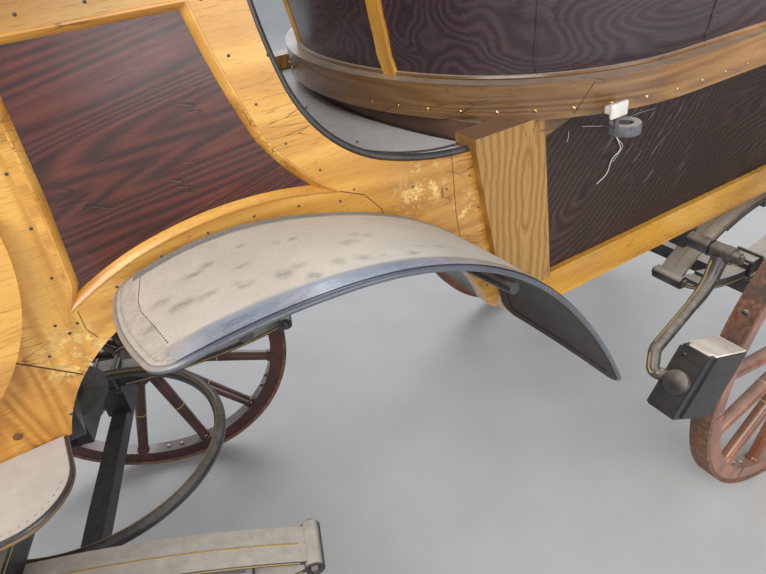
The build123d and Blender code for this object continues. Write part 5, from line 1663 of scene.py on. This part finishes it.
pins = diamonds([-240, -115, 10], [-270, -135, 0, 135, 270], lambda u, v: ((u, v, 1645), (0, 0, 1)))
padded("driver_seat_cushion", "driver_cushion", 0.0075, 0.009, pins, 0.013)
pins = diamonds([1705, 1755, 1800], [-260, -130, 0, 130, 260], lambda u, v: ((116 + (u - 1660) * 0.125 - 12, v, u), (-0.99, 0, 0.12)))
padded("driver_seat_back", "driver_backrest", 0.006, 0.005, pins, 0.009)
pins = diamonds([900, 1030, 1160, 1280], [-330, -198, -66, 66, 198, 330], lambda u, v: ((u, v, 1640), (0, 0, 1)))
padded("passenger_seat_cushion", "passenger_cushion", 0.0085, 0.009, pins, 0.013)


def back_pins():
    """Buttons in staggered rows on the inner face of the curved backrest."""
    line = tub_line(2 - 58.0, 8.0, 1418.0, 150.0)
    pts = [(x, y) for x, y in line if x > 960]
    full = pts + [(x, -y) for x, y in pts[::-1]][1:]
    out = []
    for row, z in enumerate((1655, 1740, 1825)):
        for c, t in resample([(x, y, 0) for x, y in full], 118.0)[(row % 2):]:
            pass
        samples = resample([(x, y, 0) for x, y in full], 59.0)
        for k in range(1 + row % 2, len(samples) - 1, 2):
            c, t = samples[k]
            n3 = (-t[1], t[0], 0)
            if n3[0] * (1100 - c[0]) + n3[1] * (0 - c[1]) < 0:
                n3 = (t[1], -t[0], 0)
            top = 1660 if c[0] < 1010 else (1660 + (c[0] - 1010) * 0.6 if c[0] < 1160 else min(1905, 1750 + (c[0] - 1160) * 1.1))
            if z < top - 32:
                out.append(((c[0], c[1], z), n3))
    return out


padded("passenger_seat_back", "passenger_backrest", 0.0085, 0.008, back_pins(), 0.012)

# ------------------------------------------------------- camera, floor, light
cam_d = bpy.data.cameras.new("camera")
cam = bpy.data.objects.new("camera", cam_d)
scene.collection.objects.link(cam)
scene.camera = cam
YAW, PITCH, ROLL, FOC = 0.474306652, 0.596295425, 0.128285329, 603.593
fw = Vector((math.sin(YAW) * math.cos(PITCH), math.cos(YAW) * math.cos(PITCH), -math.sin(PITCH)))
r0 = Vector((math.cos(YAW), -math.sin(YAW), 0.0))
d0 = fw.cross(r0)
rx = math.cos(ROLL) * r0 + math.sin(ROLL) * d0
dn = -math.sin(ROLL) * r0 + math.cos(ROLL) * d0
rot = Matrix((rx, -dn, -fw)).transposed()
cam.matrix_world = Matrix.Translation(Vector((0.21517 + SX / 1000, -1.09213 + SY / 1000, 1.57593))) @ rot.to_4x4()
cam_d.sensor_width = 36.0
cam_d.lens = FOC / 766.0 * 36.0
cam_d.clip_start = 0.02
cam_d.clip_end = 100.0
cam_d.dof.use_dof = False

fl = bpy.data.meshes.new("floor")
fl.from_pydata([(-20, -20, 0), (20, -20, 0), (20, 20, 0), (-20, 20, 0)], [], [(0, 1, 2, 3)])
floor = bpy.data.objects.new("floor", fl)
scene.collection.objects.link(floor)
mf = Mat("pale_floor")
nf = mf.noise(mf.obj((1, 1, 1)), 3.0, 4.0, 0.6)
mf.set(Base_Color=mf.ramp(nf, [(0.3, (0.50, 0.49, 0.475)), (0.7, (0.56, 0.55, 0.535))]), Roughness=0.8)
fl.materials.append(mf.m)

world = bpy.data.worlds.new("world")
scene.world = world
world.use_nodes = True
bg = world.node_tree.nodes["Background"]
bg.inputs[0].default_value = (0.86, 0.92, 1.0, 1.0)
bg.inputs[1].default_value = 0.62


def area(name, loc, target, size, power, color=(1, 1, 1)):
    d = bpy.data.lights.new(name, "AREA")
    d.energy = power
    d.size = size
    d.color = color
    o = bpy.data.objects.new(name, d)
    scene.collection.objects.link(o)
    o.location = loc
    o.rotation_euler = (Vector(target) - Vector(loc)).to_track_quat("-Z", "Y").to_euler()
    return o


area("key", (-2.2, -3.2, 4.6), (0.7, -0.3, 0.9), 3.4, 210, (1.0, 0.97, 0.93))
area("back", (3.0, 3.6, 4.2), (0.8, 0.0, 1.0), 3.6, 170, (0.92, 0.96, 1.0))
area("low_side", (1.8, -4.2, 1.6), (1.0, 0.0, 0.7), 2.4, 55, (1.0, 0.99, 0.97))
scene.view_settings.view_transform = "Standard"
scene.view_settings.look = "None"
